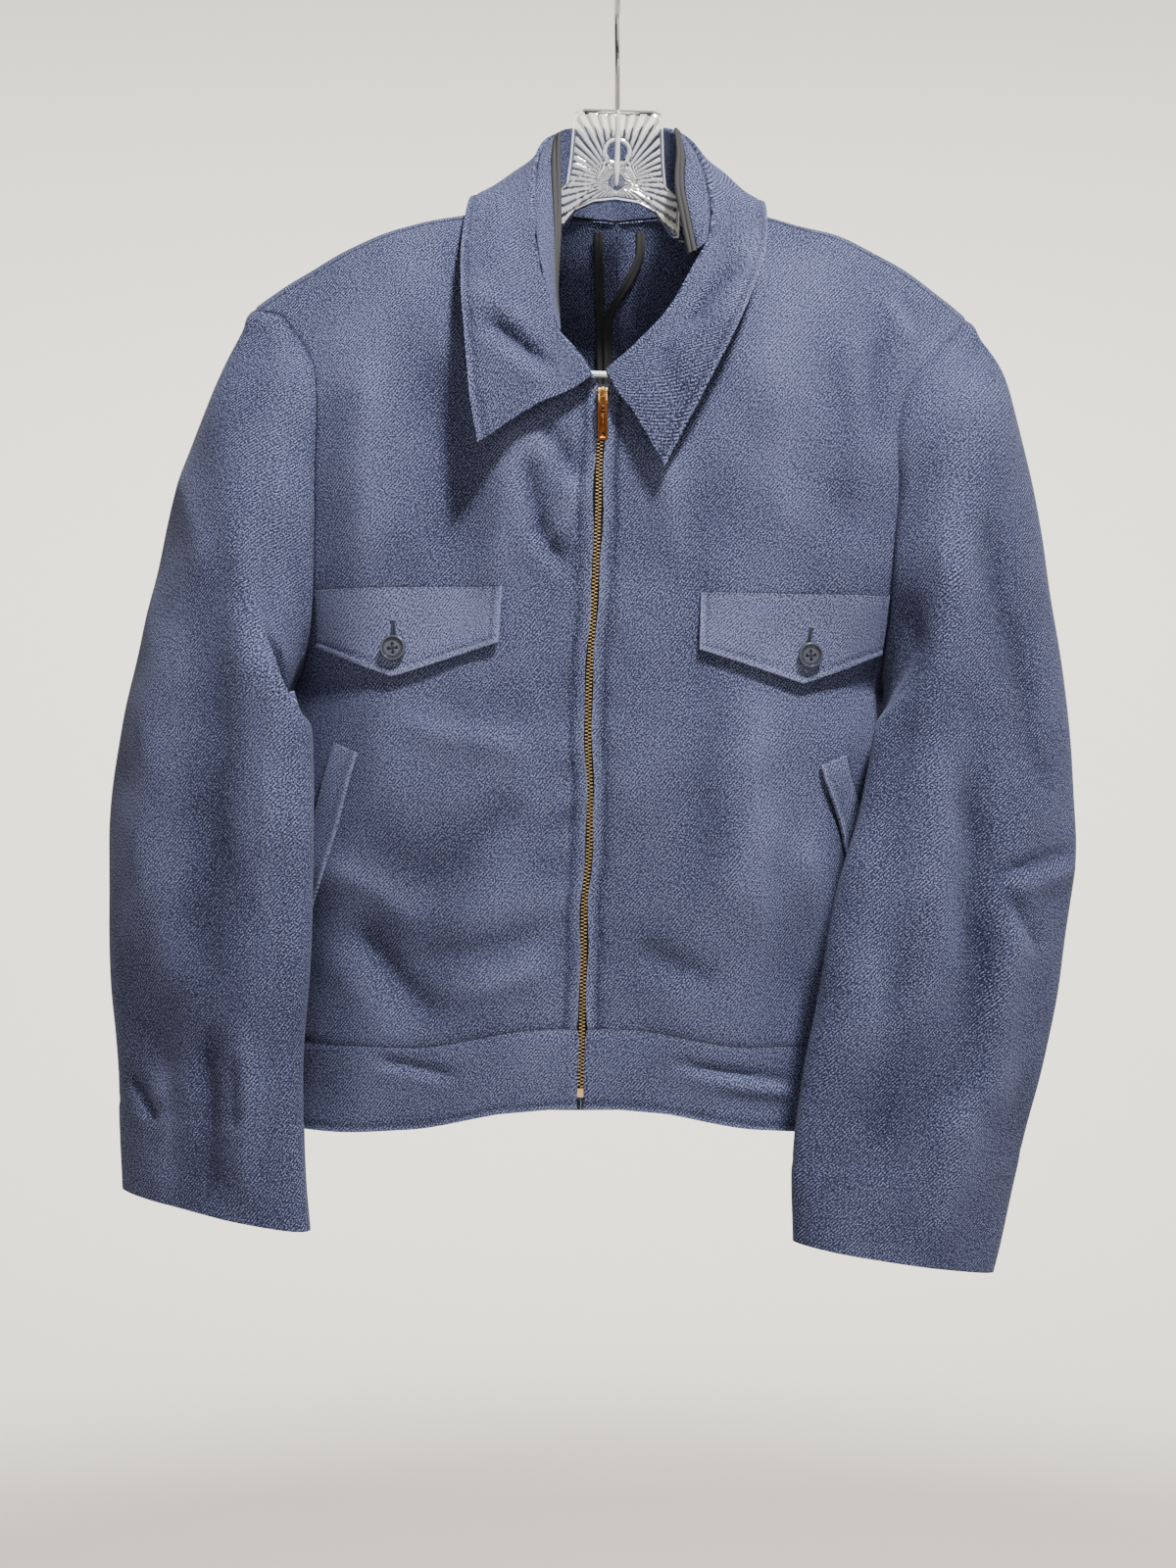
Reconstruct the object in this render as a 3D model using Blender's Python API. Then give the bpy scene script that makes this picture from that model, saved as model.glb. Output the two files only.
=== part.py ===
"""Waist-length work jacket of wool twill, hanging on a clear plastic hanger.

The jacket's front faces -Y and +Z is up. The origin is where a rod carries the hanger: under the
crown of its hook. Right and left are the wearer's, so the wearer's right is at -X.
Tables are in millimetres, and every point becomes metres when a mesh is made.
"""

import math

import bmesh
import bpy
import numpy as np
from mathutils import Matrix, Vector

MM = 0.001

# Walls and gaps
CLOTH = 1.6
DOUBLE_CLOTH = 2.4
SEAM_GAP = 0.36
# Further room at a seam that folds sharply, by how much longer its mitre is than the wall
FOLD_ROOM = 1.8
LAY_GAP = 0.35
# From the middle of a panel to the middle of doubled cloth that lies on it
LAID = (CLOTH + DOUBLE_CLOTH) / 2 + LAY_GAP + 0.4

# Where a panel's inner edge leaves the neckline, and its outer edge leaves the armhole
V_NECK = 0.3
V_ARM = 0.55
NECK_STEPS = 5
ARM_STEPS = 5
SIDE_STEPS = 8
ACROSS_STEPS = 12

# Waist seam heights at centre front, side and centre back, and the band under them
WAIST_FRONT = -706.0
WAIST_SIDE = -718.0
BAND_FRONT = 51.5
BAND_SIDE = 57.5

# Pockets: distances along the cloth from the zip's edge
FLAP_WIDTH = 127.0
# Where its point comes, as a share of its width
FLAP_POINT = 0.55
FLAP_SIDE = 37.0
FLAP_TIP = 58.0
WELT_LENGTH = 142.0
WELT_WIDTH = 20.0
BUTTON_RADIUS = 8.4
BUTTON_THICK = 3.0

# Zip
PLACKET_EDGE = 4.0
TAPE_WIDTH = 13.5
TAPE_THICK = 1.0
CHAIN_WIDTH = 5.6
CHAIN_THICK = 2.6
CHAIN_BOTTOM = -744.0
SLIDER_TOP = -294.0
SLIDER_HEIGHT = 12.5
TAB_LENGTH = 27.0
TAB_WIDTH = 6.6
TAB_THICK = 1.3

# Hanger
HANGER_HALF_SPAN = 194.0
HANGER_THICK = 6.0
HANGER_TILT = 1.75
WIRE_RADIUS = 1.75
HOOK_RADIUS = 22.0

# Zip line: height, x; and the fronts' depth along it: height, y
ZIP_X = (
    (-288, -9.6), (-336, -12.3), (-384, -13.7), (-432, -16.0), (-488, -19.3), (-515, -19.8),
    (-560, -18.5), (-590, -19.0), (-628, -22.3), (-657, -22.6), (-713, -23.9), (-760, -25.4),
)
ZIP_Y = (
    (-288, -69.5), (-340, -73), (-390, -75), (-440, -75), (-490, -74), (-560, -72),
    (-630, -68), (-706, -64), (-760, -62),
)
BACK_X = ((-159, 0), (-330, 0), (-450, -5), (-560, -14), (-640, -20), (-722, -25))
BACK_Y = ((-159, 46), (-200, 50), (-330, 57), (-450, 62), (-560, 62), (-640, 60), (-722, 56))

# Edges as x, y, z. Necklines run from the shoulder to the centre, armholes from it to the underarm
NECK_FRONT = {
    "right": ((-76, -16, -163), (-75, -26, -185), (-70, -40, -215), (-60, -52, -243),
              (-40, -62, -273), (-13.6, -69.7, -291)),
    "left": ((76, -16, -163), (75, -26, -185), (70, -40, -215), (58, -53, -243),
             (34, -63, -270), (-5.6, -69.7, -291)),
}
NECK_BACK = {
    "right": ((-76, -16, -163), (-73, 4, -157), (-60, 25, -156), (-34, 40, -157), (0, 46, -159)),
    "left": ((76, -16, -163), (73, 4, -157), (60, 25, -156), (34, 40, -157), (0, 46, -159)),
}
ARM_FRONT = {
    "right": ((-240, -18, -234), (-225.6, -21, -236), (-214.8, -28, -249), (-206, -35, -261),
              (-199.5, -41, -275), (-197, -47, -301), (-198, -49, -340), (-198.5, -49, -385),
              (-200, -45, -425), (-205, -33, -455), (-213, -16, -474), (-222, 2, -484)),
    "left": ((231, -18, -241), (216, -28, -258), (205, -36, -270), (195.8, -42, -281),
             (187, -47, -297), (182, -50, -329), (183, -50, -353), (181, -49, -385),
             (180, -46, -415), (178, -38, -444), (178, -20, -470), (180, 2, -486)),
}
ARM_BACK = {
    "right": ((-240, -18, -234), (-243, -6, -230), (-241, 8, -234), (-234, 22, -247),
              (-222, 36, -270), (-210, 46, -302), (-203, 50, -345), (-203, 46, -395),
              (-207, 34, -437), (-214, 18, -468), (-222, 2, -484)),
    "left": ((231, -18, -241), (234, -6, -237), (232, 8, -241), (225, 22, -253),
             (212, 36, -275), (198, 46, -306), (190, 50, -348), (187, 46, -397),
             (184, 34, -439), (181, 18, -470), (180, 2, -486)),
}
SIDE_SEAM = {
    "right": ((-222, 2, -484), (-222, 2, -560), (-223, 2, -640), (-226, 4, -718)),
    "left": ((180, 2, -486), (180, 2, -562), (180, 2, -642), (180, 4, -718)),
}

# How a row crosses a panel: v, roundness (1 is a quarter ellipse), bulge outwards, crown upwards
FRONT_ROWS = ((0.0, 0.0, 0, 14), (0.12, 0.1, 2, 8), (0.3, 0.25, 5, 0), (0.45, 0.6, 6, 0),
              (0.55, 0.95, 6, 0), (1.0, 1.0, 8, 0))
BACK_ROWS = ((0.0, 0.0, 0, 14), (0.06, 0.0, 0, 16), (0.12, 0.05, 2, 17), (0.2, 0.1, 5, 13),
             (0.3, 0.2, 8, 6), (0.45, 0.6, 8, 0), (0.55, 0.95, 8, 0), (1.0, 1.0, 9, 0))

# Drape of the body: face, x and z at its top, x and z at its foot, half width, height
BODY_DRAPE = (
    ("front", -172, -290, -150, -560, 26, 5),
    ("front", -112, -300, -88, -470, 24, -4),
    ("front", -70, -470, -100, -700, 30, 6),
    ("front", -150, -600, -150, -700, 26, -4),
    ("front", 160, -260, 150, -470, 20, 5),
    ("front", 100, -300, 84, -520, 26, -4),
    ("front", 62, -440, 60, -690, 28, 5),
    ("front", 118, -560, 122, -700, 24, -4),
    ("back", -150, -250, -120, -600, 30, 6),
    ("back", -70, -260, -60, -650, 30, -5),
    ("back", 122, -250, 92, -600, 30, 6),
    ("back", 40, -300, 30, -680, 26, -5),
)

# Sleeve sections: outer end x, y, z, inner end x, y, z, and half the depth between them
SLEEVES = {
    "right": ((-263, -16, -276, -234, -34, -482, 44), (-289, -14, -342, -212, -52, -498, 40),
              (-308, -12, -418, -200, -62, -508, 37), (-328, -12, -500, -197, -68, -532, 34),
              (-339.5, -13, -600, -198, -69, -608, 33), (-338, -15, -680, -200, -69, -686, 32),
              (-330, -17, -748, -204, -66, -754, 29), (-328, -18, -816, -201, -63, -836, 27)),
    "left": ((257, -14, -279, 194, -34, -484, 44), (274, -13, -342, 176, -54, -500, 39),
             (287, -14, -420, 168, -62, -510, 36), (298, -19, -500, 161, -69, -537, 33),
             (301, -27, -565, 149, -77, -584, 30), (301, -32, -595, 139, -81, -616, 28),
             (289, -39, -672, 125, -86, -686, 26), (275, -41, -742, 114, -87, -754, 25),
             (243, -43, -866, 110, -84, -838, 25)),
}
# How far the sleeve turns forward on its way down: degrees at the shoulder line and underarm line
SLEEVE_TURN = {"right": (15, 45), "left": (38, 45)}
SLEEVE_STEPS = 18
# Places of the two seams round the armhole, in twentieths from the shoulder tip over the front
ROUND_STEPS = 2 * (NECK_STEPS + ARM_STEPS)
FORE_SEAM = 8
HIND_SEAM = 18

# Drape of the sleeves: side, height and angle at its top and foot, half width in degrees, height
SLEEVE_DRAPE = (
    ("right", -300, 100, -640, 110, 16, 5), ("right", -700, 60, -815, 62, 20, -6),
    ("right", -560, 300, -760, 290, 24, -5), ("left", -330, 95, -520, 120, 14, 5),
    ("left", -545, 62, -760, 66, 16, 5), ("left", -560, 95, -800, 100, 16, -4),
    ("left", -600, 290, -780, 280, 24, -5),
)

# Collar: place along it (0 centre front right, 0.5 centre back), roll x, y, z, outer edge x, y, z
COLLAR = (
    (0.00, -17, -78, -287, -90, -85, -331), (0.07, -29, -75, -270, -95, -82, -302),
    (0.14, -41, -69, -252, -99, -74, -262), (0.20, -49, -58, -222, -102, -60, -226),
    (0.27, -55, -38, -186, -103, -38, -192), (0.33, -56, -16, -148, -99, -8, -156),
    (0.38, -52, 4, -119, -92, 26, -152), (0.43, -38, 28, -100, -66, 56, -151),
    (0.50, 0, 42, -95, 0, 78, -154), (0.57, 38, 28, -100, 66, 56, -151),
    (0.62, 53, 4, -119, 92, 26, -152), (0.67, 61, -16, -150, 98, -8, -158),
    (0.73, 61, -36, -184, 98, -38, -185), (0.80, 48, -51, -212, 92, -59, -216),
    (0.86, 34, -63, -239, 80, -73, -246), (0.93, 12, -73, -265, 60, -82, -286),
    (1.00, -8, -78, -284, 29, -85, -346),
)
# From the neckline up to the collar's lower edge
COLLAR_RISE = 1.7

# Free edge of each front facing inside the neck: x, y, z from the neck's foot to the collar's top
FACING_EDGE = {
    "right": ((-39, -46, -246), (-40, -38, -226), (-39, -30, -203), (-37.5, -22, -180),
              (-37.5, -15, -160), (-38, -8, -134), (-38.5, -2, -110)),
    "left": ((46, -36, -200), (43, -30, -184), (40, -24, -166), (38, -18, -152),
             (38, -13, -140), (39.5, -8, -124), (38.5, -3, -107)),
}
BINDING_WIDTH = 6.5
ALLOWANCE_WIDTH = 15.0


def smooth(keys, values, at):
    """Cubic curve through rows of values, read at the given places."""
    keys = np.asarray(keys, float)
    values = np.asarray(values, float).reshape(len(keys), -1)
    at = np.clip(np.asarray(at, float), keys[0], keys[-1])
    steps = np.diff(keys)[:, None]
    rises = np.diff(values, axis=0) / steps
    slopes = np.vstack([rises[:1], rises, rises[-1:]])
    weights = np.vstack([steps[:1], steps, steps[-1:]])
    slopes = (slopes[:-1] * weights[1:] + slopes[1:] * weights[:-1]) / (weights[1:] + weights[:-1])
    index = np.clip(np.searchsorted(keys, at, side="right") - 1, 0, len(keys) - 2)
    step = steps[index]
    t = ((at - keys[index]) / step[..., 0])[..., None]
    start, end = values[index], values[index + 1]
    lean_out, lean_in = slopes[index] * step, slopes[index + 1] * step
    return (start * (1 + 2 * t) * (1 - t) ** 2 + end * t**2 * (3 - 2 * t)
            + lean_out * t * (1 - t) ** 2 - lean_in * t**2 * (1 - t))


def by_height(table, z):
    """One value read from a table of height and value, whose heights go down."""
    rows = np.asarray(table, float)[::-1]
    return smooth(rows[:, 0], rows[:, 1], z)[..., 0]


def along(points, t):
    """Points at fractions of the length of a smooth line through the given points."""
    points = np.asarray(points, float)
    lengths = np.concatenate([[0], np.cumsum(np.linalg.norm(np.diff(points, axis=0), axis=1))])
    return smooth(lengths / lengths[-1], points, t)


def ridges(across, down, table):
    """Sum of soft ridges: each runs from one place to another, with its half width and height."""
    total = np.zeros(np.broadcast(across, down).shape)
    for x0, z0, x1, z1, width, height in table:
        run = np.array([x1 - x0, z1 - z0], float)
        t = ((across - x0) * run[0] + (down - z0) * run[1]) / (run @ run)
        off = (across - x0) - t * run[0]
        fade = 1 / (1 + np.exp(-9 * (t + 0.05))) / (1 + np.exp(9 * (t - 1.05)))
        total += height * np.exp(-((off / width) ** 2)) * fade
    return total


def draped(points, face):
    """Body points with the soft folds of the front or the back, strongest away from the sides."""
    facing = -1 if face == "front" else 1
    rows = [row[1:] for row in BODY_DRAPE if row[0] == face]
    depth = np.clip((facing * points[..., 1] - 8) / 34, 0, 1)
    depth = depth**2 * (3 - 2 * depth)
    near_neck = np.clip((-230 - points[..., 2]) / 60, 0, 1)
    moved = points.copy()
    moved[..., 1] += facing * ridges(points[..., 0], points[..., 2], rows) * depth * near_neck
    return moved


def zip_point(z, aside, forward):
    """Points beside the zip line, aside in x and forward of the fronts' edge."""
    z = np.asarray(z, float)
    points = np.stack([by_height(ZIP_X, z) + aside, by_height(ZIP_Y, z) - forward, z], axis=-1)
    return draped(points, "front")


def body_point(side, face, u, v):
    """Points of a body panel: u from the centre line to the side, v from shoulder to waist."""
    u, v = np.broadcast_arrays(np.asarray(u, float), np.asarray(v, float))
    outward = -1 if side == "right" else 1
    down = (v - V_NECK) / (1 - V_NECK)
    if face == "front":
        neck = along(NECK_FRONT[side], np.clip(v / V_NECK, 0, 1))
        z = NECK_FRONT[side][-1][2] + (WAIST_FRONT - NECK_FRONT[side][-1][2]) * down
        line = [by_height(ZIP_X, z) + outward * PLACKET_EDGE, by_height(ZIP_Y, z), z]
        arm, rows, toward = ARM_FRONT[side], FRONT_ROWS, -1
    else:
        neck = along(NECK_BACK[side], np.clip(v / V_NECK, 0, 1))
        z = NECK_BACK[side][-1][2] + (WAIST_SIDE - NECK_BACK[side][-1][2]) * down
        line = [by_height(BACK_X, z), by_height(BACK_Y, z), z]
        arm, rows, toward = ARM_BACK[side], BACK_ROWS, 1
    inner = np.where((v < V_NECK)[..., None], neck, np.stack(line, axis=-1))
    outer = np.where(
        (v < V_ARM)[..., None],
        along(arm, np.clip(v / V_ARM, 0, 1)),
        along(SIDE_SEAM[side], np.clip((v - V_ARM) / (1 - V_ARM), 0, 1)),
    )
    table = np.asarray(rows, float)
    roundness, bulge, crown = np.moveaxis(smooth(table[:, 0], table[:, 1:], v), -1, 0)
    across = u + roundness * (np.sin(math.pi / 2 * u) - u)
    depth = u + roundness * (1 - np.cos(math.pi / 2 * u) - u)
    fall = np.clip((across - 0.1) / 0.45, 0, 1)
    height = u + roundness * (fall**2 * (3 - 2 * fall) - u)
    share = np.stack([across, depth, height], axis=-1)
    points = inner + (outer - inner) * share
    points[..., 1] += toward * bulge * np.sin(math.pi * u)
    points[..., 2] += crown * np.sin(math.pi * u**1.25)
    return draped(points, face)


def panel_rows():
    return np.concatenate([
        np.linspace(0, V_NECK, NECK_STEPS + 1),
        np.linspace(V_NECK, V_ARM, ARM_STEPS + 1)[1:],
        np.linspace(V_ARM, 1, SIDE_STEPS + 1)[1:],
    ])


def body_grid(side, face):
    u = np.linspace(0, 1, ACROSS_STEPS + 1)
    return body_point(side, face, u[None, :], panel_rows()[:, None])


def band_grid(side, front, back):
    """Half of the waistband, from centre front to centre back, hung from the panels' edges."""
    top = np.concatenate([front[-1], back[-1, ::-1][1:]])
    t = np.linspace(0, 1, len(top))
    deeper = np.clip((t - 0.1) / 0.2, 0, 1)
    height = BAND_FRONT + (BAND_SIDE - BAND_FRONT) * deeper**2 * (3 - 2 * deeper)
    middle = (front[-1, 0, 0] + back[-1, 0, 0]) / 2
    outward = -1 if side == "right" else 1
    rows = []
    for share in np.linspace(0, 1, 4):
        row = top.copy()
        row[:, 2] -= height * share
        row[:, 0] = middle + (top[:, 0] - middle) * (1 - 0.012 * math.sin(math.pi * share))
        row[:, 1] *= 1 - 0.03 * share
        edge = np.clip(1 - t * len(t) / 2, 0, 1)
        row[:, 0] += edge * (by_height(ZIP_X, row[:, 2]) + outward * PLACKET_EDGE - row[:, 0])
        row[-1, 0] = top[-1, 0]
        rows.append(row)
    rows[0] = top
    return np.array(rows)


def section_angles(side, k):
    """Angles round one section, from the shoulder line over the front to the back."""
    turn, under_turn = SLEEVE_TURN[side]
    f = np.linspace(0, 1, ROUND_STEPS + 1)[:-1]
    ramp = min(1.0, k / 3)
    lean = turn + (under_turn - turn) * (1 - np.cos(2 * math.pi * f)) / 2
    return 2 * math.pi * f + ramp * np.radians(lean)


def sleeve_grid(side, armhole):
    """Rings of the whole sleeve, from the armhole to the cuff."""
    rings = [armhole]
    angles = [section_angles(side, 0)]
    for k, row in enumerate(SLEEVES[side], start=1):
        outer, inner, half_depth = np.array(row[:3]), np.array(row[3:6]), row[6]
        angle = section_angles(side, k)
        ring = (outer + inner) / 2 - (inner - outer) / 2 * np.cos(angle)[:, None]
        ring[:, 1] -= half_depth * np.sin(angle)
        rings.append(ring)
        angles.append(angle)
    rings = np.array(rings)
    gaps = np.linalg.norm(np.diff(rings, axis=0), axis=2).mean(axis=1)
    keys = np.concatenate([[0], np.cumsum(gaps)])
    at = np.linspace(0, keys[-1], SLEEVE_STEPS + 1)
    shape = (SLEEVE_STEPS + 1, ROUND_STEPS)
    grid = smooth(keys, rings.reshape(len(rings), -1), at).reshape(*shape, 3)
    turn = np.degrees(smooth(keys, np.array(angles), at).reshape(shape))
    centre = grid.mean(axis=1, keepdims=True)
    away = grid - centre
    away /= np.linalg.norm(away, axis=2, keepdims=True)
    table = [(a0, z0, a1, z1, width, height)
             for which, z0, a0, z1, a1, width, height in SLEEVE_DRAPE if which == side]
    settled = np.clip(at / keys[3], 0, 1)[:, None] ** 2
    lift = ridges(turn, grid[..., 2], table) * settled
    return grid + away * lift[..., None]


def ring_part(grid, start, stop):
    """The columns of a ring grid from one seam to the next, going round past the end."""
    columns = [i % ROUND_STEPS for i in range(start, stop + 1)]
    return grid[:, columns]


def collar_grid(neck):
    """The collar from its neck seam up over the roll and down to its outer edge."""
    table = np.asarray(COLLAR, float)
    lengths = np.concatenate([[0], np.cumsum(np.linalg.norm(np.diff(neck, axis=0), axis=1))])
    at = lengths / lengths[-1]
    roll = smooth(table[:, 0], table[:, 1:4], at)
    edge = smooth(table[:, 0], table[:, 4:7], at)
    stand_up = (roll - neck) / np.linalg.norm(roll - neck, axis=1, keepdims=True)
    foot = neck + stand_up * COLLAR_RISE
    rolled_in = roll + (foot - roll) * 0.12 - [0, 0, 1.5]
    rolled_out = roll + (edge - roll) * 0.12 - [0, 0, 1.0]
    behind = at * (1 - at) > 0.21
    leaf = (roll + edge) / 2 + np.where(behind[:, None], [0, 3, 2.0], [0, -1.5, 2.0])
    stand = (foot + roll) / 2
    lines = np.array([foot, stand, rolled_in, roll, rolled_out, leaf, edge])
    keys = np.array([0, 0.24, 0.40, 0.46, 0.52, 0.76, 1.0])
    t = np.array([0, 0.16, 0.30, 0.40, 0.46, 0.52, 0.64, 0.76, 0.88, 1.0])
    grid = smooth(keys, lines.reshape(len(keys), -1), t)
    return grid.reshape(len(t), len(neck), 3)


def grid_normals(grid, sign):
    along_v = np.gradient(grid, axis=0)
    along_u = np.gradient(grid, axis=1)
    normals = np.cross(along_u, along_v) * sign
    return normals / np.linalg.norm(normals, axis=2, keepdims=True)


def share_seam_normals(pieces):
    """Where seams meet, every piece gets one normal there, so that its wall is mitred.

    It lies midway between the families that meet: panels, sleeve and band.
    """
    meeting = {}
    for piece in pieces.values():
        piece["keys"] = [tuple(place) for place in np.round(piece["grid"].reshape(-1, 3), 1).tolist()]
        for key, normal in zip(piece["keys"], piece["normals"].reshape(-1, 3)):
            meeting.setdefault(key, {}).setdefault(piece["family"], []).append(normal)
    for piece in pieces.values():
        flat = piece["normals"].reshape(-1, 3)
        for i, key in enumerate(piece["keys"]):
            families = [np.sum(normals, axis=0) for normals in meeting[key].values()]
            mean = np.sum([total / np.linalg.norm(total) for total in families], axis=0)
            mean /= np.linalg.norm(mean)
            flat[i] = mean / max(0.38, mean @ flat[i])


def trimmed(grid, normals, gap):
    """The grid with its four edges drawn in, which leaves the seams apart, sharp folds the most."""
    moved = grid.copy()
    mitre = np.linalg.norm(normals, axis=2, keepdims=True)
    gap = gap * mitre + FOLD_ROOM * (mitre - 1)
    for edge, inside in ((0, 1), (-1, -2)):
        step = grid[inside] - grid[edge]
        step /= np.linalg.norm(step, axis=1, keepdims=True)
        moved[edge] += step * gap[edge]
    for edge, inside in ((0, 1), (-1, -2)):
        step = grid[:, inside] - grid[:, edge]
        step /= np.linalg.norm(step, axis=1, keepdims=True)
        moved[:, edge] += step * gap[:, edge]
    return moved


def material(name, colour, roughness, metallic=0.0, alpha=1.0):
    made = bpy.data.materials.new(name)
    made.use_nodes = True
    shader = made.node_tree.nodes["Principled BSDF"]
    shader.inputs["Base Color"].default_value = (*colour, 1)
    shader.inputs["Roughness"].default_value = roughness
    shader.inputs["Metallic"].default_value = metallic
    shader.inputs["Alpha"].default_value = alpha
    return made


def add_object(name, points, faces, colour, smooth_angle=40.0):
    """A closed mesh object from points in millimetres, with its faces pointing out."""
    mesh = bpy.data.meshes.new(name)
    mesh.from_pydata([Vector(p) * MM for p in np.asarray(points, float).tolist()], [], faces)
    shaped = bmesh.new()
    shaped.from_mesh(mesh)
    bmesh.ops.recalc_face_normals(shaped, faces=shaped.faces)
    if shaped.calc_volume(signed=True) < 0:
        bmesh.ops.reverse_faces(shaped, faces=shaped.faces)
    shaped.to_mesh(mesh)
    shaped.free()
    mesh.shade_smooth()
    mesh.set_sharp_from_angle(angle=math.radians(smooth_angle))
    mesh.materials.append(material(name, *colour))
    made = bpy.data.objects.new(name, mesh)
    bpy.context.scene.collection.objects.link(made)
    return made


def add_wall(name, grid, normals, thick, colour):
    """A sheet of cloth: the grid is its middle, and half the thickness lies on each side."""
    rows, columns = grid.shape[:2]
    points = np.concatenate([
        (grid + normals * thick / 2).reshape(-1, 3), (grid - normals * thick / 2).reshape(-1, 3),
    ])
    under = rows * columns
    faces = []
    for i in range(rows - 1):
        for j in range(columns - 1):
            a, b = i * columns + j, i * columns + j + 1
            c, d = b + columns, a + columns
            faces.append((a, b, c, d))
            faces.append((a + under, d + under, c + under, b + under))
    rim = [j for j in range(columns)]
    rim += [i * columns + columns - 1 for i in range(1, rows)]
    rim += [(rows - 1) * columns + j for j in range(columns - 2, -1, -1)]
    rim += [i * columns for i in range(rows - 2, 0, -1)]
    for a, b in zip(rim, rim[1:] + rim[:1]):
        faces.append((b, a, a + under, b + under))
    return add_object(name, points, faces, colour)


class Panel:
    """A front panel that other pieces lie on, read by level distance along it and height."""

    def __init__(self, side):
        self.rows = body_grid(side, "front")
        steps = np.linalg.norm(np.diff(self.rows[..., :2], axis=1), axis=2)
        self.reach = np.concatenate([np.zeros((len(self.rows), 1)), np.cumsum(steps, axis=1)], axis=1)

    def at(self, reach, z):
        line = np.array([
            [np.interp(reach, run, row[:, k]) for k in range(3)]
            for run, row in zip(self.reach, self.rows)
        ])[::-1]
        return np.array([np.interp(z, line[:, 2], line[:, k]) for k in range(3)])

    def normal(self, reach, z):
        across = self.at(reach + 4, z) - self.at(reach - 4, z)
        down = self.at(reach, z - 4) - self.at(reach, z + 4)
        normal = np.cross(across, down)
        normal *= -np.sign(normal[1])
        return normal / np.linalg.norm(normal)

    def laid(self, reaches, heights, lifts):
        """A grid of points lifted off the panel, with the panel's normals."""
        reaches, heights, lifts = np.broadcast_arrays(reaches, heights, lifts)
        points = np.empty((*reaches.shape, 3))
        normals = np.empty_like(points)
        for i in np.ndindex(reaches.shape):
            normals[i] = self.normal(reaches[i], heights[i])
            points[i] = self.at(reaches[i], heights[i]) + normals[i] * lifts[i]
        return points, normals


TWILL = ((0.10, 0.12, 0.22), 0.9)
DARK_TRIM = ((0.035, 0.035, 0.04), 0.85)
TAPE_CLOTH = ((0.05, 0.05, 0.07), 0.9)
BRASS = ((0.55, 0.38, 0.16), 0.35, 1.0)
COPPER = ((0.30, 0.12, 0.06), 0.4, 1.0)
BUTTON = ((0.03, 0.035, 0.06), 0.35)
CLEAR = ((0.85, 0.87, 0.88), 0.08, 0.0, 0.4)
STEEL = ((0.62, 0.62, 0.62), 0.25, 1.0)


def make_shell():
    """The panels, sleeves, collar and band, which share their seams."""
    pieces = {}
    for side in ("right", "left"):
        sign = 1 if side == "right" else -1
        front = body_grid(side, "front")
        back = body_grid(side, "back")
        pieces["front_" + side] = {"family": "panel", "grid": front, "sign": -sign}
        pieces["back_" + side] = {"family": "panel", "grid": back, "sign": sign}
        pieces["waistband_" + side] = {
            "family": "band", "grid": band_grid(side, front, back), "sign": -sign,
            "thick": DOUBLE_CLOTH}
        reach = NECK_STEPS + ARM_STEPS
        armhole = np.concatenate([front[:reach, -1], back[reach:0:-1, -1]])
        sleeve = sleeve_grid(side, armhole)
        pieces["sleeve_top_" + side] = {
            "family": "sleeve", "grid": ring_part(sleeve, HIND_SEAM, FORE_SEAM + ROUND_STEPS),
            "sign": sign}
        pieces["sleeve_under_" + side] = {
            "family": "sleeve", "grid": ring_part(sleeve, FORE_SEAM, HIND_SEAM), "sign": sign}
    front_r, back_r = pieces["front_right"]["grid"], pieces["back_right"]["grid"]
    front_l, back_l = pieces["front_left"]["grid"], pieces["back_left"]["grid"]
    neck = np.concatenate([
        front_r[NECK_STEPS:0:-1, 0], back_r[:NECK_STEPS, 0],
        back_l[NECK_STEPS:0:-1, 0], front_l[:NECK_STEPS + 1, 0],
    ])
    pieces["collar"] = {"family": "collar", "grid": collar_grid(neck), "sign": 1,
                        "thick": DOUBLE_CLOTH}
    for piece in pieces.values():
        piece["normals"] = grid_normals(piece["grid"], piece["sign"])
    share_seam_normals(pieces)
    for name, piece in pieces.items():
        grid = trimmed(piece["grid"], piece["normals"], SEAM_GAP / 2)
        add_wall(name, grid, piece["normals"], piece.get("thick", CLOTH), TWILL)


def make_flap(side, panel, start, top):
    """A pointed pocket flap, laid on the front and a little free at its lower edge."""
    a = np.interp(np.linspace(0, 1, 11), (0, 0.5, 1), (0, FLAP_POINT, 1))[None, :]
    b = np.linspace(0, 1, 5)[:, None]
    reach = start + FLAP_WIDTH * a
    point = np.interp(a, (0, FLAP_POINT, 1), (0, 1, 0))
    height = top - b * (FLAP_SIDE + (FLAP_TIP - FLAP_SIDE) * point)
    grid, normals = panel.laid(reach, height, LAID + 1.2 * b)
    add_wall("flap_" + side, grid, normals, DOUBLE_CLOTH, TWILL)


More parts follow.
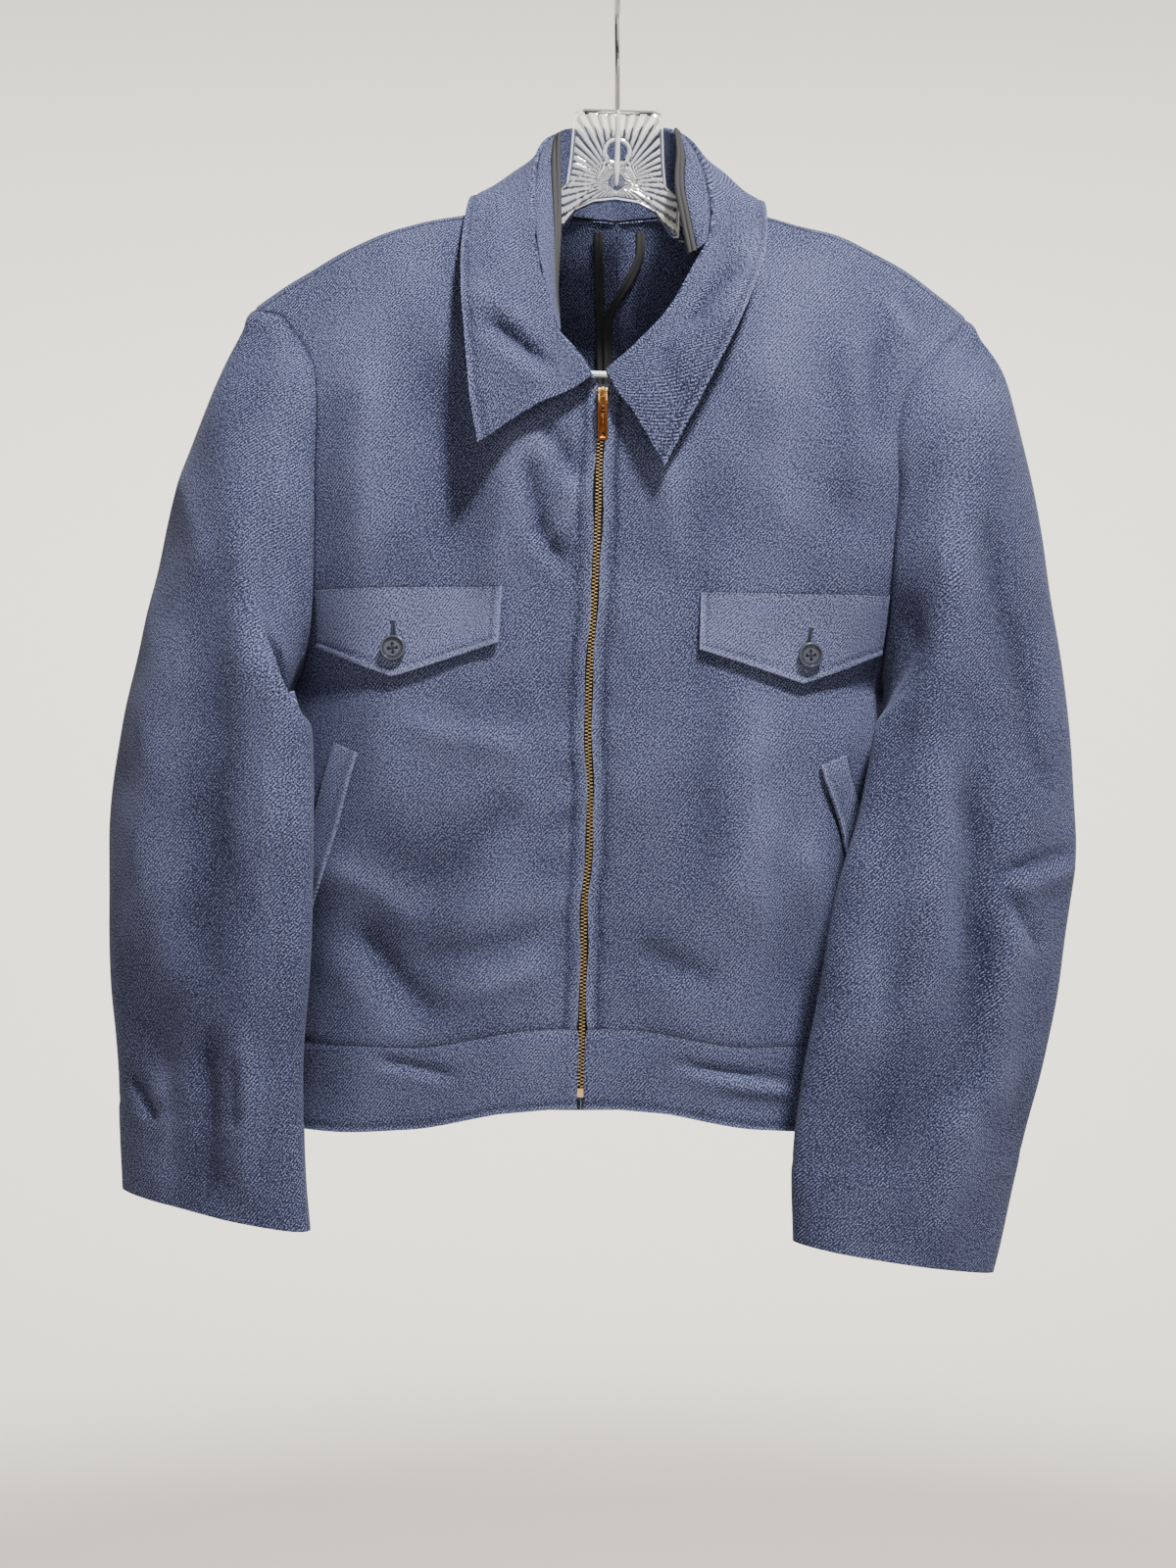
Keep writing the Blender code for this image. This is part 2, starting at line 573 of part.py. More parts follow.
def make_button(side, panel, reach, z):
    """A four-hole button with a raised rim, on the flap."""
    normal = panel.normal(reach, z)
    lift = LAID + DOUBLE_CLOTH / 2 + 0.85 + LAY_GAP
    place = panel.at(reach, z) + normal * lift
    r, h = BUTTON_RADIUS, BUTTON_THICK
    profile = ((0, 0), (r * 0.8, 0), (r * 0.97, h * 0.35), (r, h * 0.6), (r * 0.93, h * 0.95),
               (r * 0.84, h), (r * 0.7, h * 0.72), (r * 0.55, h * 0.62), (0, h * 0.62))
    sides = 20
    points = [(0, 0, 0), (0, 0, profile[-1][1])]
    faces = []
    ring = profile[1:-1]
    for radius, height in ring:
        for i in range(sides):
            turn = 2 * math.pi * i / sides
            points.append((radius * math.cos(turn), radius * math.sin(turn), height))
    for i in range(sides):
        j = (i + 1) % sides
        faces.append((0, 2 + j, 2 + i))
        last = 2 + (len(ring) - 1) * sides
        faces.append((1, last + i, last + j))
        for k in range(len(ring) - 1):
            low, high = 2 + k * sides, 2 + (k + 1) * sides
            faces.append((low + i, low + j, high + j, high + i))
    button = add_object("button_" + side, points, faces, BUTTON)
    turn = Vector((0, 0, 1)).rotation_difference(Vector(normal.tolist()))
    frame = Matrix.Translation(Vector((place * MM).tolist())) @ turn.to_matrix().to_4x4()
    button.matrix_world = frame
    for x in (-1, 1):
        for y in (-1, 1):
            bpy.ops.mesh.primitive_cylinder_add(vertices=8, radius=1.1 * MM, depth=4 * h * MM)
            cutter = bpy.context.object
            cutter.name = f"hole_{side}_{x + 1}{y + 1}"
            cutter.matrix_world = frame @ Matrix.Translation((1.9 * x * MM, 1.9 * y * MM, 0))
            cutter.hide_render = True
            cutter.display_type = "WIRE"
            cut = button.modifiers.new(cutter.name, "BOOLEAN")
            cut.operation = "DIFFERENCE"
            cut.object = cutter


def make_welt(side, panel, start, top):
    """A slanted welt, wider apart from the zip at its foot."""
    a = np.linspace(0, 1, 3)[None, :]
    b = np.linspace(0, 1, 9)[:, None]
    slant = math.radians(19)
    reach = start + b * WELT_LENGTH * math.sin(slant) + a * WELT_WIDTH * math.cos(slant)
    height = top - b * WELT_LENGTH * math.cos(slant) + a * WELT_WIDTH * math.sin(slant)
    grid, normals = panel.laid(reach, height, LAID + 0.8)
    add_wall("welt_" + side, grid, normals, DOUBLE_CLOTH, TWILL)


def strip(name, left, right, normal, thick, colour, steps=1):
    """A narrow wall between two lines of points, with the given normals."""
    shares = np.linspace(0, 1, steps + 1)[:, None, None]
    grid = left[None] + (right - left)[None] * shares
    normals = np.broadcast_to(normal, grid.shape)
    return add_wall(name, grid, normals, thick, colour)


def make_zip():
    """Tapes behind the placket edges, the chain between them, and the box at its foot."""
    z = np.linspace(SLIDER_TOP + 3, CHAIN_BOTTOM - 6, 25)
    facing = np.array([0, -1.0, 0])
    behind = -(CLOTH / 2 + LAY_GAP + TAPE_THICK / 2)
    for side, outward in (("right", -1), ("left", 1)):
        near = zip_point(z, outward * 0.2, behind - 0.9)
        far = zip_point(z, outward * TAPE_WIDTH, behind - 0.9)
        strip("zip_tape_" + side, near, far, facing, TAPE_THICK, TAPE_CLOTH)
    z = np.linspace(SLIDER_TOP - SLIDER_HEIGHT - 0.4, CHAIN_BOTTOM, 27)
    forward = 0.1
    left = zip_point(z, -CHAIN_WIDTH / 2, forward)
    right = zip_point(z, CHAIN_WIDTH / 2, forward)
    strip("zip_chain", left, right, facing, CHAIN_THICK, BRASS)
    z = np.linspace(CHAIN_BOTTOM - 0.4, CHAIN_BOTTOM - 6, 3)
    left, right = zip_point(z, -3.4, forward), zip_point(z, 3.4, forward)
    strip("zip_retainer", left, right, facing, CHAIN_THICK, BRASS)


def make_block(name, size, place, colour, bevel=0.0):
    """A box of the given size in millimetres about its place, with soft edges."""
    shaped = bmesh.new()
    bmesh.ops.create_cube(shaped, size=1.0)
    bmesh.ops.scale(shaped, vec=Vector(size) * MM, verts=shaped.verts)
    if bevel:
        bmesh.ops.bevel(shaped, geom=shaped.edges, offset=bevel * MM, segments=2, profile=0.5,
                        affect="EDGES")
    bmesh.ops.translate(shaped, vec=Vector(place) * MM, verts=shaped.verts)
    mesh = bpy.data.meshes.new(name)
    shaped.to_mesh(mesh)
    shaped.free()
    mesh.materials.append(material(name, *colour))
    made = bpy.data.objects.new(name, mesh)
    bpy.context.scene.collection.objects.link(made)
    return made


def join(target, others):
    """A union of solids that touch or cross, with the helpers taken out of the picture."""
    for other in others:
        other.hide_render = True
        other.display_type = "WIRE"
        union = target.modifiers.new(other.name, "BOOLEAN")
        union.operation = "UNION"
        union.object = other


def make_cylinder(name, radius, length, place, colour, sides=12):
    """A rod along X."""
    bpy.ops.mesh.primitive_cylinder_add(
        vertices=sides, radius=radius * MM, depth=length * MM,
        location=Vector(place) * MM, rotation=(0, math.pi / 2, 0))
    made = bpy.context.object
    made.name = name
    made.data.materials.append(material(name, *colour))
    return made


def make_slider_and_tab():
    """The slider with two lugs and a pin, and the pull tab that swings on the pin."""
    middle = SLIDER_TOP - SLIDER_HEIGHT / 2
    x, y, z = zip_point([middle], 0, 0)[0]
    front = y - 4.4
    body = make_block("zip_slider", (7.0, 5.2, SLIDER_HEIGHT), (x, y - 1.8, z), BRASS, 0.7)
    axis = (x, front - 2.3, z - 1.0)
    helpers = []
    for side in (-1, 1):
        helpers.append(make_block(f"lug_{side + 1}", (0.9, 4.2, 3.8),
                                  (x + side * 2.55, front - 1.7, axis[2]), BRASS))
    helpers.append(make_cylinder("pin", 0.55, 5.4, axis, BRASS, 10))
    join(body, helpers)
    pivot = bpy.data.objects.new("pull_tab_axis", None)
    pivot.location = Vector(axis) * MM
    bpy.context.scene.collection.objects.link(pivot)
    bpy.context.view_layer.update()
    barrel = make_cylinder("zip_pull_tab", 1.55, 3.4, axis, COPPER, 14)
    blade = make_block("tab_blade", (TAB_WIDTH, TAB_THICK, TAB_LENGTH - 4),
                       (x, axis[1], axis[2] - 4 - (TAB_LENGTH - 4) / 2), COPPER, 0.4)
    neck = make_block("tab_neck", (3.2, TAB_THICK, 4.6), (x, axis[1], axis[2] - 3.0), COPPER)
    join(barrel, [blade, neck])
    bore = make_cylinder("tab_bore", 0.95, 8, axis, COPPER, 12)
    bore.hide_render = True
    bore.display_type = "WIRE"
    cut = barrel.modifiers.new("bore", "BOOLEAN")
    cut.operation = "DIFFERENCE"
    cut.object = bore
    barrel.parent = pivot
    barrel.matrix_parent_inverse = pivot.matrix_world.inverted()


def edge_frame(line, aside):
    """Unit normals of a strip that runs beside a line, and unit directions square to the line."""
    run = np.gradient(line, axis=0)
    normals = np.cross(run, aside)
    normals /= np.linalg.norm(normals, axis=1, keepdims=True)
    across = np.cross(normals, run)
    return normals, across / np.linalg.norm(across, axis=1, keepdims=True)


def make_facing(side, collar_table):
    """The strip of front facing beside the hanger's plate, and the binding on its free edge."""
    t = np.linspace(0, 1, 9)
    free = along(FACING_EDGE[side], t)
    near = 0.13 if side == "right" else 0.75
    far = 0.395 if side == "right" else 0.605
    roll = smooth(collar_table[:, 0], collar_table[:, 1:4], near + (far - near) * t)
    inward = np.array([1.0, 0, 0]) if side == "right" else np.array([-1.0, 0, 0])
    attached = roll + inward * 2.9 - [0, 0, 2.0]
    normals, across = edge_frame(free, attached - free)
    bound = free + across * BINDING_WIDTH
    strip("binding_facing_" + side, free, bound, normals, 2.2, DARK_TRIM)
    start = bound + across * 0.8
    strip("facing_" + side, start, attached, normals, CLOTH, TWILL, steps=2)


def make_allowance(side):
    """One centre-back seam allowance with its binding, lying inside the back."""
    outward = -1 if side == "right" else 1
    z = np.linspace(-166, -700, 15)
    facing = np.array([0, -1.0, 0])
    x, y = by_height(BACK_X, z), by_height(BACK_Y, z)

    def line(aside, off):
        points = draped(np.stack([x + outward * aside, y, z], axis=-1), "back")
        return points - np.array([0, off, 0])

    off = CLOTH / 2 + 1.0 + LAY_GAP + 0.1
    near, far = line(0.3, off), line(ALLOWANCE_WIDTH - BINDING_WIDTH, off)
    strip("allowance_" + side, near, far, facing, 1.2, TWILL)
    near = line(ALLOWANCE_WIDTH - BINDING_WIDTH + LAY_GAP, off)
    far = line(ALLOWANCE_WIDTH, off)
    strip("binding_back_" + side, near, far, facing, 2.0, DARK_TRIM)


def arc(centre, radius, start, stop, steps):
    turns = [math.radians(start + (stop - start) * i / steps) for i in range(steps + 1)]
    return [(centre[0] + radius * math.cos(a), centre[1] + radius * math.sin(a)) for a in turns]


def hanger_outline():
    """Half of the hanger's outline, from the middle of its top to the middle of its arch."""
    slope = 0.365
    reach = HANGER_HALF_SPAN
    top = -174.2
    half = arc((24, -101), 6, 90, 15, 3)
    half += [(31.5, -128), (33.5, -146)]
    half += [(46, top + slope * (101 - 48)), (101, top), (reach - 14, top - slope * (reach - 115))]
    end = (reach - 9, top - slope * (reach - 110) - 11)
    half += arc(end, 9, 60, -100, 5)
    half += [(101, top - 20), (58, top - 8), (37.5, top - 8)]
    half += [(28, -163), (15, -157), (0, -155)]
    return half


def make_hanger():
    """Plate with its arms in one flat piece, the trouser bar under them, and the wire hook."""
    half = hanger_outline()
    outline = half + [(-x, z) for x, z in half[-2::-1]]
    count = len(outline)
    tilt = math.radians(HANGER_TILT)
    points = []
    for y in (-HANGER_THICK / 2, HANGER_THICK / 2):
        points += [(x, y, z) for x, z in outline]
    faces = [tuple(range(count)), tuple(range(2 * count - 1, count - 1, -1))]
    faces += [(i, i + count, (i + 1) % count + count, (i + 1) % count) for i in range(count)]
    body = add_object("hanger_body", points, faces, CLEAR, 30)
    lean = Matrix.Rotation(tilt, 4, "Y")
    pivot = Matrix.Translation(Vector((0, 0, -120)) * MM)
    lean = pivot @ lean @ pivot.inverted()
    body.matrix_world = lean
    cutters = []
    bpy.ops.mesh.primitive_cylinder_add(vertices=20, radius=6.5 * MM, depth=30 * MM,
                                        location=Vector((0, 0, -123)) * MM,
                                        rotation=(math.pi / 2, 0, 0))
    cutters.append(bpy.context.object)
    cutters[-1].name = "plate_hole"
    bpy.ops.mesh.primitive_cylinder_add(vertices=12, radius=(WIRE_RADIUS + 0.3) * MM,
                                        depth=20 * MM, location=Vector((0, 0, -98)) * MM)
    cutters.append(bpy.context.object)
    cutters[-1].name = "socket"
    for cutter in cutters:
        cutter.hide_render = True
        cutter.display_type = "WIRE"
        cut = body.modifiers.new(cutter.name, "BOOLEAN")
        cut.operation = "DIFFERENCE"
        cut.object = cutter
    bar = [(x, 0, z) for x, z in ((-172, -222.4), (-175, -240), (-170, -256), (-155, -266),
                                  (-130, -268), (130, -268), (155, -266), (170, -256),
                                  (175, -240), (172, -222.4))]
    make_tube("hanger_bar", bar, 2.4, 16, 4, CLEAR).matrix_world = lean
    r = HOOK_RADIUS + WIRE_RADIUS
    hook = [(0, 0, -107.5), (0, 0, -85), (0, 0, -66), (0, 3.5, -57), (0, 12, -49)]
    for degrees in (-35, -10, 20, 50, 90, 130, 165, 195, 215):
        a = math.radians(degrees)
        hook.append((0, r * math.cos(a), -HOOK_RADIUS + r * math.sin(a)))
    make_tube("hanger_hook", hook, WIRE_RADIUS, 34, 3, STEEL)


def make_tube(name, line, radius, steps, resolution, colour):
    """A rod along a smooth line through the given points."""
    route = along(line, np.linspace(0, 1, steps + 1)) * MM
    curve = bpy.data.curves.new(name, "CURVE")
    curve.dimensions = "3D"
    curve.bevel_depth = radius * MM
    curve.bevel_resolution = resolution - 1
    curve.use_fill_caps = True
    spline = curve.splines.new("POLY")
    spline.points.add(len(route) - 1)
    for point, place in zip(spline.points, route.tolist()):
        point.co = (*place, 1)
    curve.materials.append(material(name, *colour))
    made = bpy.data.objects.new(name, curve)
    bpy.context.scene.collection.objects.link(made)
    return made


def main():
    for old in list(bpy.data.objects):
        bpy.data.objects.remove(old, do_unlink=True)
    make_shell()
    for side, flap_start, button_aside, flap_top, welt_start, welt_top in (
        ("right", 58, 0, -421, 148, -528), ("left", 64, 4, -425, 150, -536),
    ):
        panel = Panel(side)
        make_flap(side, panel, flap_start, flap_top)
        make_button(side, panel, flap_start + FLAP_WIDTH * FLAP_POINT + button_aside, flap_top - 40)
        make_welt(side, panel, welt_start, welt_top)
        make_allowance(side)
        make_facing(side, np.asarray(COLLAR, float))
    make_zip()
    make_slider_and_tab()
    make_hanger()


main()
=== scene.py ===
"""Looks of a waist-length wool twill work jacket that hangs on a clear plastic hanger.

Every cloth piece is a thin shell on the form of its solid, with the same tables and finer steps.
Tables are in millimetres, and every point becomes metres when a mesh is made. The front faces -Y.
"""

import math

import bmesh
import bpy
import numpy as np
from mathutils import Matrix, Vector
from mathutils.bvhtree import BVHTree


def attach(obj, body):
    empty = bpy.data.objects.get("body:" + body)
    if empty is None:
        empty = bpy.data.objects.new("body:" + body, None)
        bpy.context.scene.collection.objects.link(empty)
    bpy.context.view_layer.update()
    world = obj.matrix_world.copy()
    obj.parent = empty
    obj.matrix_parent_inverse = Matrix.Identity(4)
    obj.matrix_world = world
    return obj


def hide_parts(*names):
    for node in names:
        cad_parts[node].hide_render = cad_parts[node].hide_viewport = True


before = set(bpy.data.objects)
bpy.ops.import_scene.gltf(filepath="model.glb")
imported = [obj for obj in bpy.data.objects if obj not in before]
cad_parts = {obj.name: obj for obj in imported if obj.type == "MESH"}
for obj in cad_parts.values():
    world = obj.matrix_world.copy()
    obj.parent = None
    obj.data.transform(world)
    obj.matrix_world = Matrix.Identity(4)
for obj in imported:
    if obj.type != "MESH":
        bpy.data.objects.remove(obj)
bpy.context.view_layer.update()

MM = 0.001
# Steps of a shell for one step of its solid
FINE = 7

CLOTH = 1.6
DOUBLE_CLOTH = 2.4
SEAM_GAP = 0.1
V_NECK = 0.3
V_ARM = 0.55
NECK_STEPS = 5
ARM_STEPS = 5
SIDE_STEPS = 8
ACROSS_STEPS = 12
SLEEVE_STEPS = 18
ROUND_STEPS = 2 * (NECK_STEPS + ARM_STEPS)
FORE_SEAM = 8
HIND_SEAM = 18

WAIST_FRONT = -706.0
WAIST_SIDE = -718.0
BAND_FRONT = 51.5
BAND_SIDE = 57.5

FLAP_WIDTH = 127.0
FLAP_POINT = 0.55
FLAP_SIDE = 37.0
FLAP_TIP = 58.0
WELT_LENGTH = 142.0
WELT_WIDTH = 20.0
WELT_SLANT = math.radians(19)
BUTTON_RADIUS = 8.4
BUTTON_THICK = 3.0
# Side, flap's start, button's place beyond the flap's point, flap's top, welt's start, welt's top
POCKETS = (("right", 58, 0, -421, 148, -528), ("left", 64, 4, -425, 150, -536))

# Half the gap between the fronts: at the neck, and below it where the lips close over the tapes
PLACKET_TOP = 4.0
PLACKET_LIP = 2.7
CHAIN_BOTTOM = -744.0
# How far the tapes reach beside the zip, and how deep the cloth may dip over them
TAPE_REACH = 16.0
OVER_TAPE = 1.5
TAB_LENGTH = 27.0
TAB_WIDTH = 6.6
TAB_THICK = 1.3
SLIDER_TOP = -294.0
SLIDER_HEIGHT = 12.5
TOOTH_PITCH = 1.15

# Zip line: height, x; and the fronts' depth along it: height, y
ZIP_X = (
    (-288, -9.6), (-336, -12.3), (-384, -13.7), (-432, -16.0), (-488, -19.3), (-515, -19.8),
    (-560, -18.5), (-590, -19.0), (-628, -22.3), (-657, -22.6), (-713, -23.9), (-760, -25.4),
)
ZIP_Y = (
    (-288, -69.5), (-340, -73), (-390, -75), (-440, -75), (-490, -74), (-560, -72),
    (-630, -68), (-706, -64), (-760, -62),
)
BACK_X = ((-159, 0), (-330, 0), (-450, -5), (-560, -14), (-640, -20), (-722, -25))
BACK_Y = ((-159, 46), (-200, 50), (-330, 57), (-450, 62), (-560, 62), (-640, 60), (-722, 56))

# Edges as x, y, z. Necklines run from the shoulder to the centre, armholes from it to the underarm
NECK_FRONT = {
    "right": ((-76, -16, -163), (-75, -26, -185), (-70, -40, -215), (-60, -52, -243),
              (-40, -62, -273), (-13.6, -69.7, -291)),
    "left": ((76, -16, -163), (75, -26, -185), (70, -40, -215), (58, -53, -243),
             (34, -63, -270), (-5.6, -69.7, -291)),
}
NECK_BACK = {
    "right": ((-76, -16, -163), (-73, 4, -157), (-60, 25, -156), (-34, 40, -157), (0, 46, -159)),
    "left": ((76, -16, -163), (73, 4, -157), (60, 25, -156), (34, 40, -157), (0, 46, -159)),
}
ARM_FRONT = {
    "right": ((-240, -18, -234), (-225.6, -21, -236), (-214.8, -28, -249), (-206, -35, -261),
              (-199.5, -41, -275), (-197, -47, -301), (-198, -49, -340), (-198.5, -49, -385),
              (-200, -45, -425), (-205, -33, -455), (-213, -16, -474), (-222, 2, -484)),
    "left": ((231, -18, -241), (216, -28, -258), (205, -36, -270), (195.8, -42, -281),
             (187, -47, -297), (182, -50, -329), (183, -50, -353), (181, -49, -385),
             (180, -46, -415), (178, -38, -444), (178, -20, -470), (180, 2, -486)),
}
ARM_BACK = {
    "right": ((-240, -18, -234), (-243, -6, -230), (-241, 8, -234), (-234, 22, -247),
              (-222, 36, -270), (-210, 46, -302), (-203, 50, -345), (-203, 46, -395),
              (-207, 34, -437), (-214, 18, -468), (-222, 2, -484)),
    "left": ((231, -18, -241), (234, -6, -237), (232, 8, -241), (225, 22, -253),
             (212, 36, -275), (198, 46, -306), (190, 50, -348), (187, 46, -397),
             (184, 34, -439), (181, 18, -470), (180, 2, -486)),
}
SIDE_SEAM = {
    "right": ((-222, 2, -484), (-222, 2, -560), (-223, 2, -640), (-226, 4, -718)),
    "left": ((180, 2, -486), (180, 2, -562), (180, 2, -642), (180, 4, -718)),
}

# How a row crosses a panel: v, roundness (1 is a quarter ellipse), bulge outwards, crown upwards
FRONT_ROWS = ((0.0, 0.0, 0, 14), (0.12, 0.1, 2, 8), (0.3, 0.25, 5, 0), (0.45, 0.6, 6, 0),
              (0.55, 0.95, 6, 0), (1.0, 1.0, 8, 0))
BACK_ROWS = ((0.0, 0.0, 0, 14), (0.06, 0.0, 0, 16), (0.12, 0.05, 2, 17), (0.2, 0.1, 5, 13),
             (0.3, 0.2, 8, 6), (0.45, 0.6, 8, 0), (0.55, 0.95, 8, 0), (1.0, 1.0, 9, 0))

# Drape of the body: face, x and z at its top, x and z at its foot, half width, height
BODY_DRAPE = (
    ("front", -172, -290, -150, -560, 26, 5),
    ("front", -112, -300, -88, -470, 24, -4),
    ("front", -70, -470, -100, -700, 30, 6),
    ("front", -150, -600, -150, -700, 26, -4),
    ("front", 160, -260, 150, -470, 20, 5),
    ("front", 100, -300, 84, -520, 26, -4),
    ("front", 62, -440, 60, -690, 28, 5),
    ("front", 118, -560, 122, -700, 24, -4),
    ("back", -150, -250, -120, -600, 30, 6),
    ("back", -70, -260, -60, -650, 30, -5),
    ("back", 122, -250, 92, -600, 30, 6),
    ("back", 40, -300, 30, -680, 26, -5),
)

# Sleeve sections: outer end x, y, z, inner end x, y, z, and half the depth between them
SLEEVES = {
    "right": ((-263, -16, -276, -218, -35, -496, 44), (-289, -14, -342, -211, -51, -500, 40),
              (-308, -12, -418, -200, -62, -508, 37), (-328, -12, -500, -197, -68, -532, 34),
              (-339.5, -13, -600, -198, -69, -608, 33), (-338, -15, -680, -200, -69, -686, 32),
              (-330, -17, -748, -204, -66, -754, 29), (-328, -18, -816, -201, -63, -836, 27)),
    "left": ((257, -14, -279, 176, -37, -498, 44), (274, -13, -342, 174, -52, -502, 39),
             (287, -14, -420, 168, -62, -510, 36), (298, -19, -500, 161, -69, -537, 33),
             (301, -27, -565, 149, -77, -584, 30), (301, -32, -595, 139, -81, -616, 28),
             (289, -39, -672, 125, -86, -686, 26), (275, -41, -742, 114, -87, -754, 25),
             (243, -43, -866, 110, -84, -838, 25)),
}
SLEEVE_TURN = {"right": (15, 45), "left": (38, 45)}
# Drape of the sleeves: side, height and angle at its top and foot, half width in degrees, height
SLEEVE_DRAPE = (
    ("right", -300, 100, -640, 110, 16, 5), ("right", -700, 60, -815, 62, 20, -6),
    ("right", -560, 300, -760, 290, 24, -5), ("left", -330, 95, -520, 120, 14, 5),
    ("left", -545, 62, -760, 66, 16, 5), ("left", -560, 95, -800, 100, 16, -4),
    ("left", -600, 290, -780, 280, 24, -5),
)

# Collar: place along it (0 centre front right, 0.5 centre back), roll x, y, z, outer edge x, y, z
COLLAR = (
    (0.00, -17, -78, -287, -90, -85, -331), (0.07, -29, -75, -270, -95, -82, -302),
    (0.14, -41, -69, -252, -99, -74, -262), (0.20, -49, -58, -222, -102, -60, -226),
    (0.27, -55, -38, -186, -103, -38, -192), (0.33, -56, -16, -148, -99, -8, -156),
    (0.38, -52, 4, -119, -92, 26, -152), (0.43, -38, 28, -100, -66, 56, -151),
    (0.50, 0, 42, -95, 0, 78, -154), (0.57, 38, 28, -100, 66, 56, -151),
    (0.62, 53, 4, -119, 92, 26, -152), (0.67, 61, -16, -150, 98, -8, -158),
    (0.73, 61, -36, -184, 98, -38, -185), (0.80, 48, -51, -212, 92, -59, -216),
    (0.86, 34, -63, -239, 80, -73, -246), (0.93, 12, -73, -265, 60, -82, -286),
    (1.00, -8, -78, -284, 29, -85, -346),
)
COLLAR_RISE = 1.7
FACING_EDGE = {
    "right": ((-39, -46, -246), (-40, -38, -226), (-39, -30, -203), (-37.5, -22, -180),
              (-37.5, -15, -160), (-38, -8, -134), (-38.5, -2, -110)),
    "left": ((46, -36, -200), (43, -30, -184), (40, -24, -166), (38, -18, -152),
             (38, -13, -140), (39.5, -8, -124), (38.5, -3, -107)),
}
BINDING_WIDTH = 6.5
# Middle of each centre-back binding: drop below the hook's crown, distance from the seam
BINDING_RUN = {
    "right": ((166, 13), (190, 12.6), (225, 11.8), (262, 11.2), (300, 11), (700, 11)),
    "left": ((166, 16.5), (182, 16), (200, 8), (220, -4), (258, -6.5), (300, -7), (700, -7)),
}


# Creases: piece, face, x and z at one end, x and z at the other, half width, height
CREASES = (
    ("sleeve_right", "front", -221, -232, -226, -690, -15, 6.0),
    ("sleeve_right", "front", -262, -700, -263, -822, 9, -3.0),
    ("sleeve_right", "front", -243, -724, -244, -768, 5, -1.8),
    ("sleeve_right", "front", -320, -737, -298, -764, 5, -2.4),
    ("sleeve_right", "front", -252, -440, -264, -700, 20, -2.8),
    ("sleeve_right", "front", -296, -380, -312, -690, 26, 3.6),
    ("sleeve_right", "front", -236, -700, -238, -822, 11, 2.8),
    ("sleeve_right", "front", -292, -730, -298, -822, 14, 3.2),
    ("sleeve_right", "front", -286, -330, -262, -420, 14, 2.2),
    ("sleeve_right", "back", -250, -560, -290, -575, 8, -3.0),
    ("sleeve_right", "back", -235, -590, -262, -640, 8, -2.4),
    ("sleeve_left", "front", 238, -606, 298, -590, 5, -2.0),
    ("sleeve_left", "front", 242, -618, 298, -604, 8, 1.2),
    ("sleeve_left", "front", 246, -616, 270, -654, 5, -2.2),
    ("sleeve_left", "front", 228, -530, 226, -744, 12, -4.4),
    ("sleeve_left", "front", 250, -620, 246, -770, 15, 3.0),
    ("sleeve_left", "front", 232, -370, 264, -492, 13, -3.0),
    ("sleeve_left", "front", 258, -470, 276, -560, 11, -2.6),
    ("sleeve_left", "front", 222, -262, 206, -470, -15, 4.5),
    ("sleeve_left", "front", 192, -420, 178, -540, 13, -2.6),
    ("sleeve_left", "front", 214, -500, 196, -700, 18, 2.8),
    ("sleeve_left", "front", 160, -560, 150, -760, 18, 2.6),
    ("sleeve_left", "front", 176, -640, 168, -800, 13, -2.2),
    ("sleeve_left", "front", 222, -740, 205, -850, 14, 2.4),
    ("sleeve_left", "back", 236, -600, 290, -584, 7, -3.2),
    ("sleeve_left", "back", 200, -640, 250, -690, 9, -2.8),
    ("body", "front", -60, -344, -50, -390, 6, -3.0),
    ("body", "front", -54, -384, -26, -414, 5.5, -2.6),
    ("body", "front", -46, -316, -24, -356, 6, -2.8),
    ("body", "front", -26, -345, -41, -392, 7, 2.4),
    ("body", "front", -176, -640, -116, -704, 12, -3.0),
    ("body", "front", -190, -598, -120, -640, 16, 2.2),
    ("body", "front", -64, -296, -84, -430, 14, 2.8),
    ("body", "front", 24, -326, 42, -420, 12, 2.6),
    ("body", "front", 54, -330, 58, -640, 17, -2.2),
    ("body", "front", 86, -470, 94, -690, 17, 2.6),
    ("body", "front", 142, -540, 152, -660, 9, -3.0),
    ("body", "front", 122, -574, 130, -690, 12, 3.0),
    ("body", "front", 96, -246, 108, -410, 19, 2.6),
    ("body", "front", 178, -232, 192, -256, 6, 2.6),
    ("body", "front", 170, -250, 168, -330, 9, -2.6),
    ("body", "front", 140, -250, 150, -400, 15, -2.2),
    ("body", "front", -54, -530, -150, -506, 11, 2.2),
    ("body", "front", -60, -560, -130, -620, 15, -1.6),
    ("body", "front", -40, -640, -136, -664, 12, -1.5),
    ("body", "front", -40, -668, -120, -686, 10, 1.5),
    ("body", "front", 10, -650, 66, -678, 11, -2.0),
    ("body", "front", -120, -260, -104, -400, 17, -2.4),
    ("body", "front", -160, -260, -168, -420, 15, 2.0),
    ("body", "back", -180, -300, -140, -420, 11, -2.6),
    ("body", "back", 165, -300, 130, -430, 11, -2.6),
    ("body", "back", -110, -440, -96, -660, 18, 2.4),
    ("body", "back", 96, -430, 84, -650, 18, -2.4),
    ("body", "back", -120, -650, -60, -672, 10, -2.0),
    ("body", "back", 60, -630, 120, -660, 10, 2.0),
    ("band", "front", -158, -727, -104, -736, 4, -1.6),
    ("band", "front", 34, -726, 120, -742, 4, -1.8),
    ("band", "front", 60, -738, 130, -752, 5, 1.2),
    ("band", "back", -90, -738, 20, -742, 5, -1.6),
)


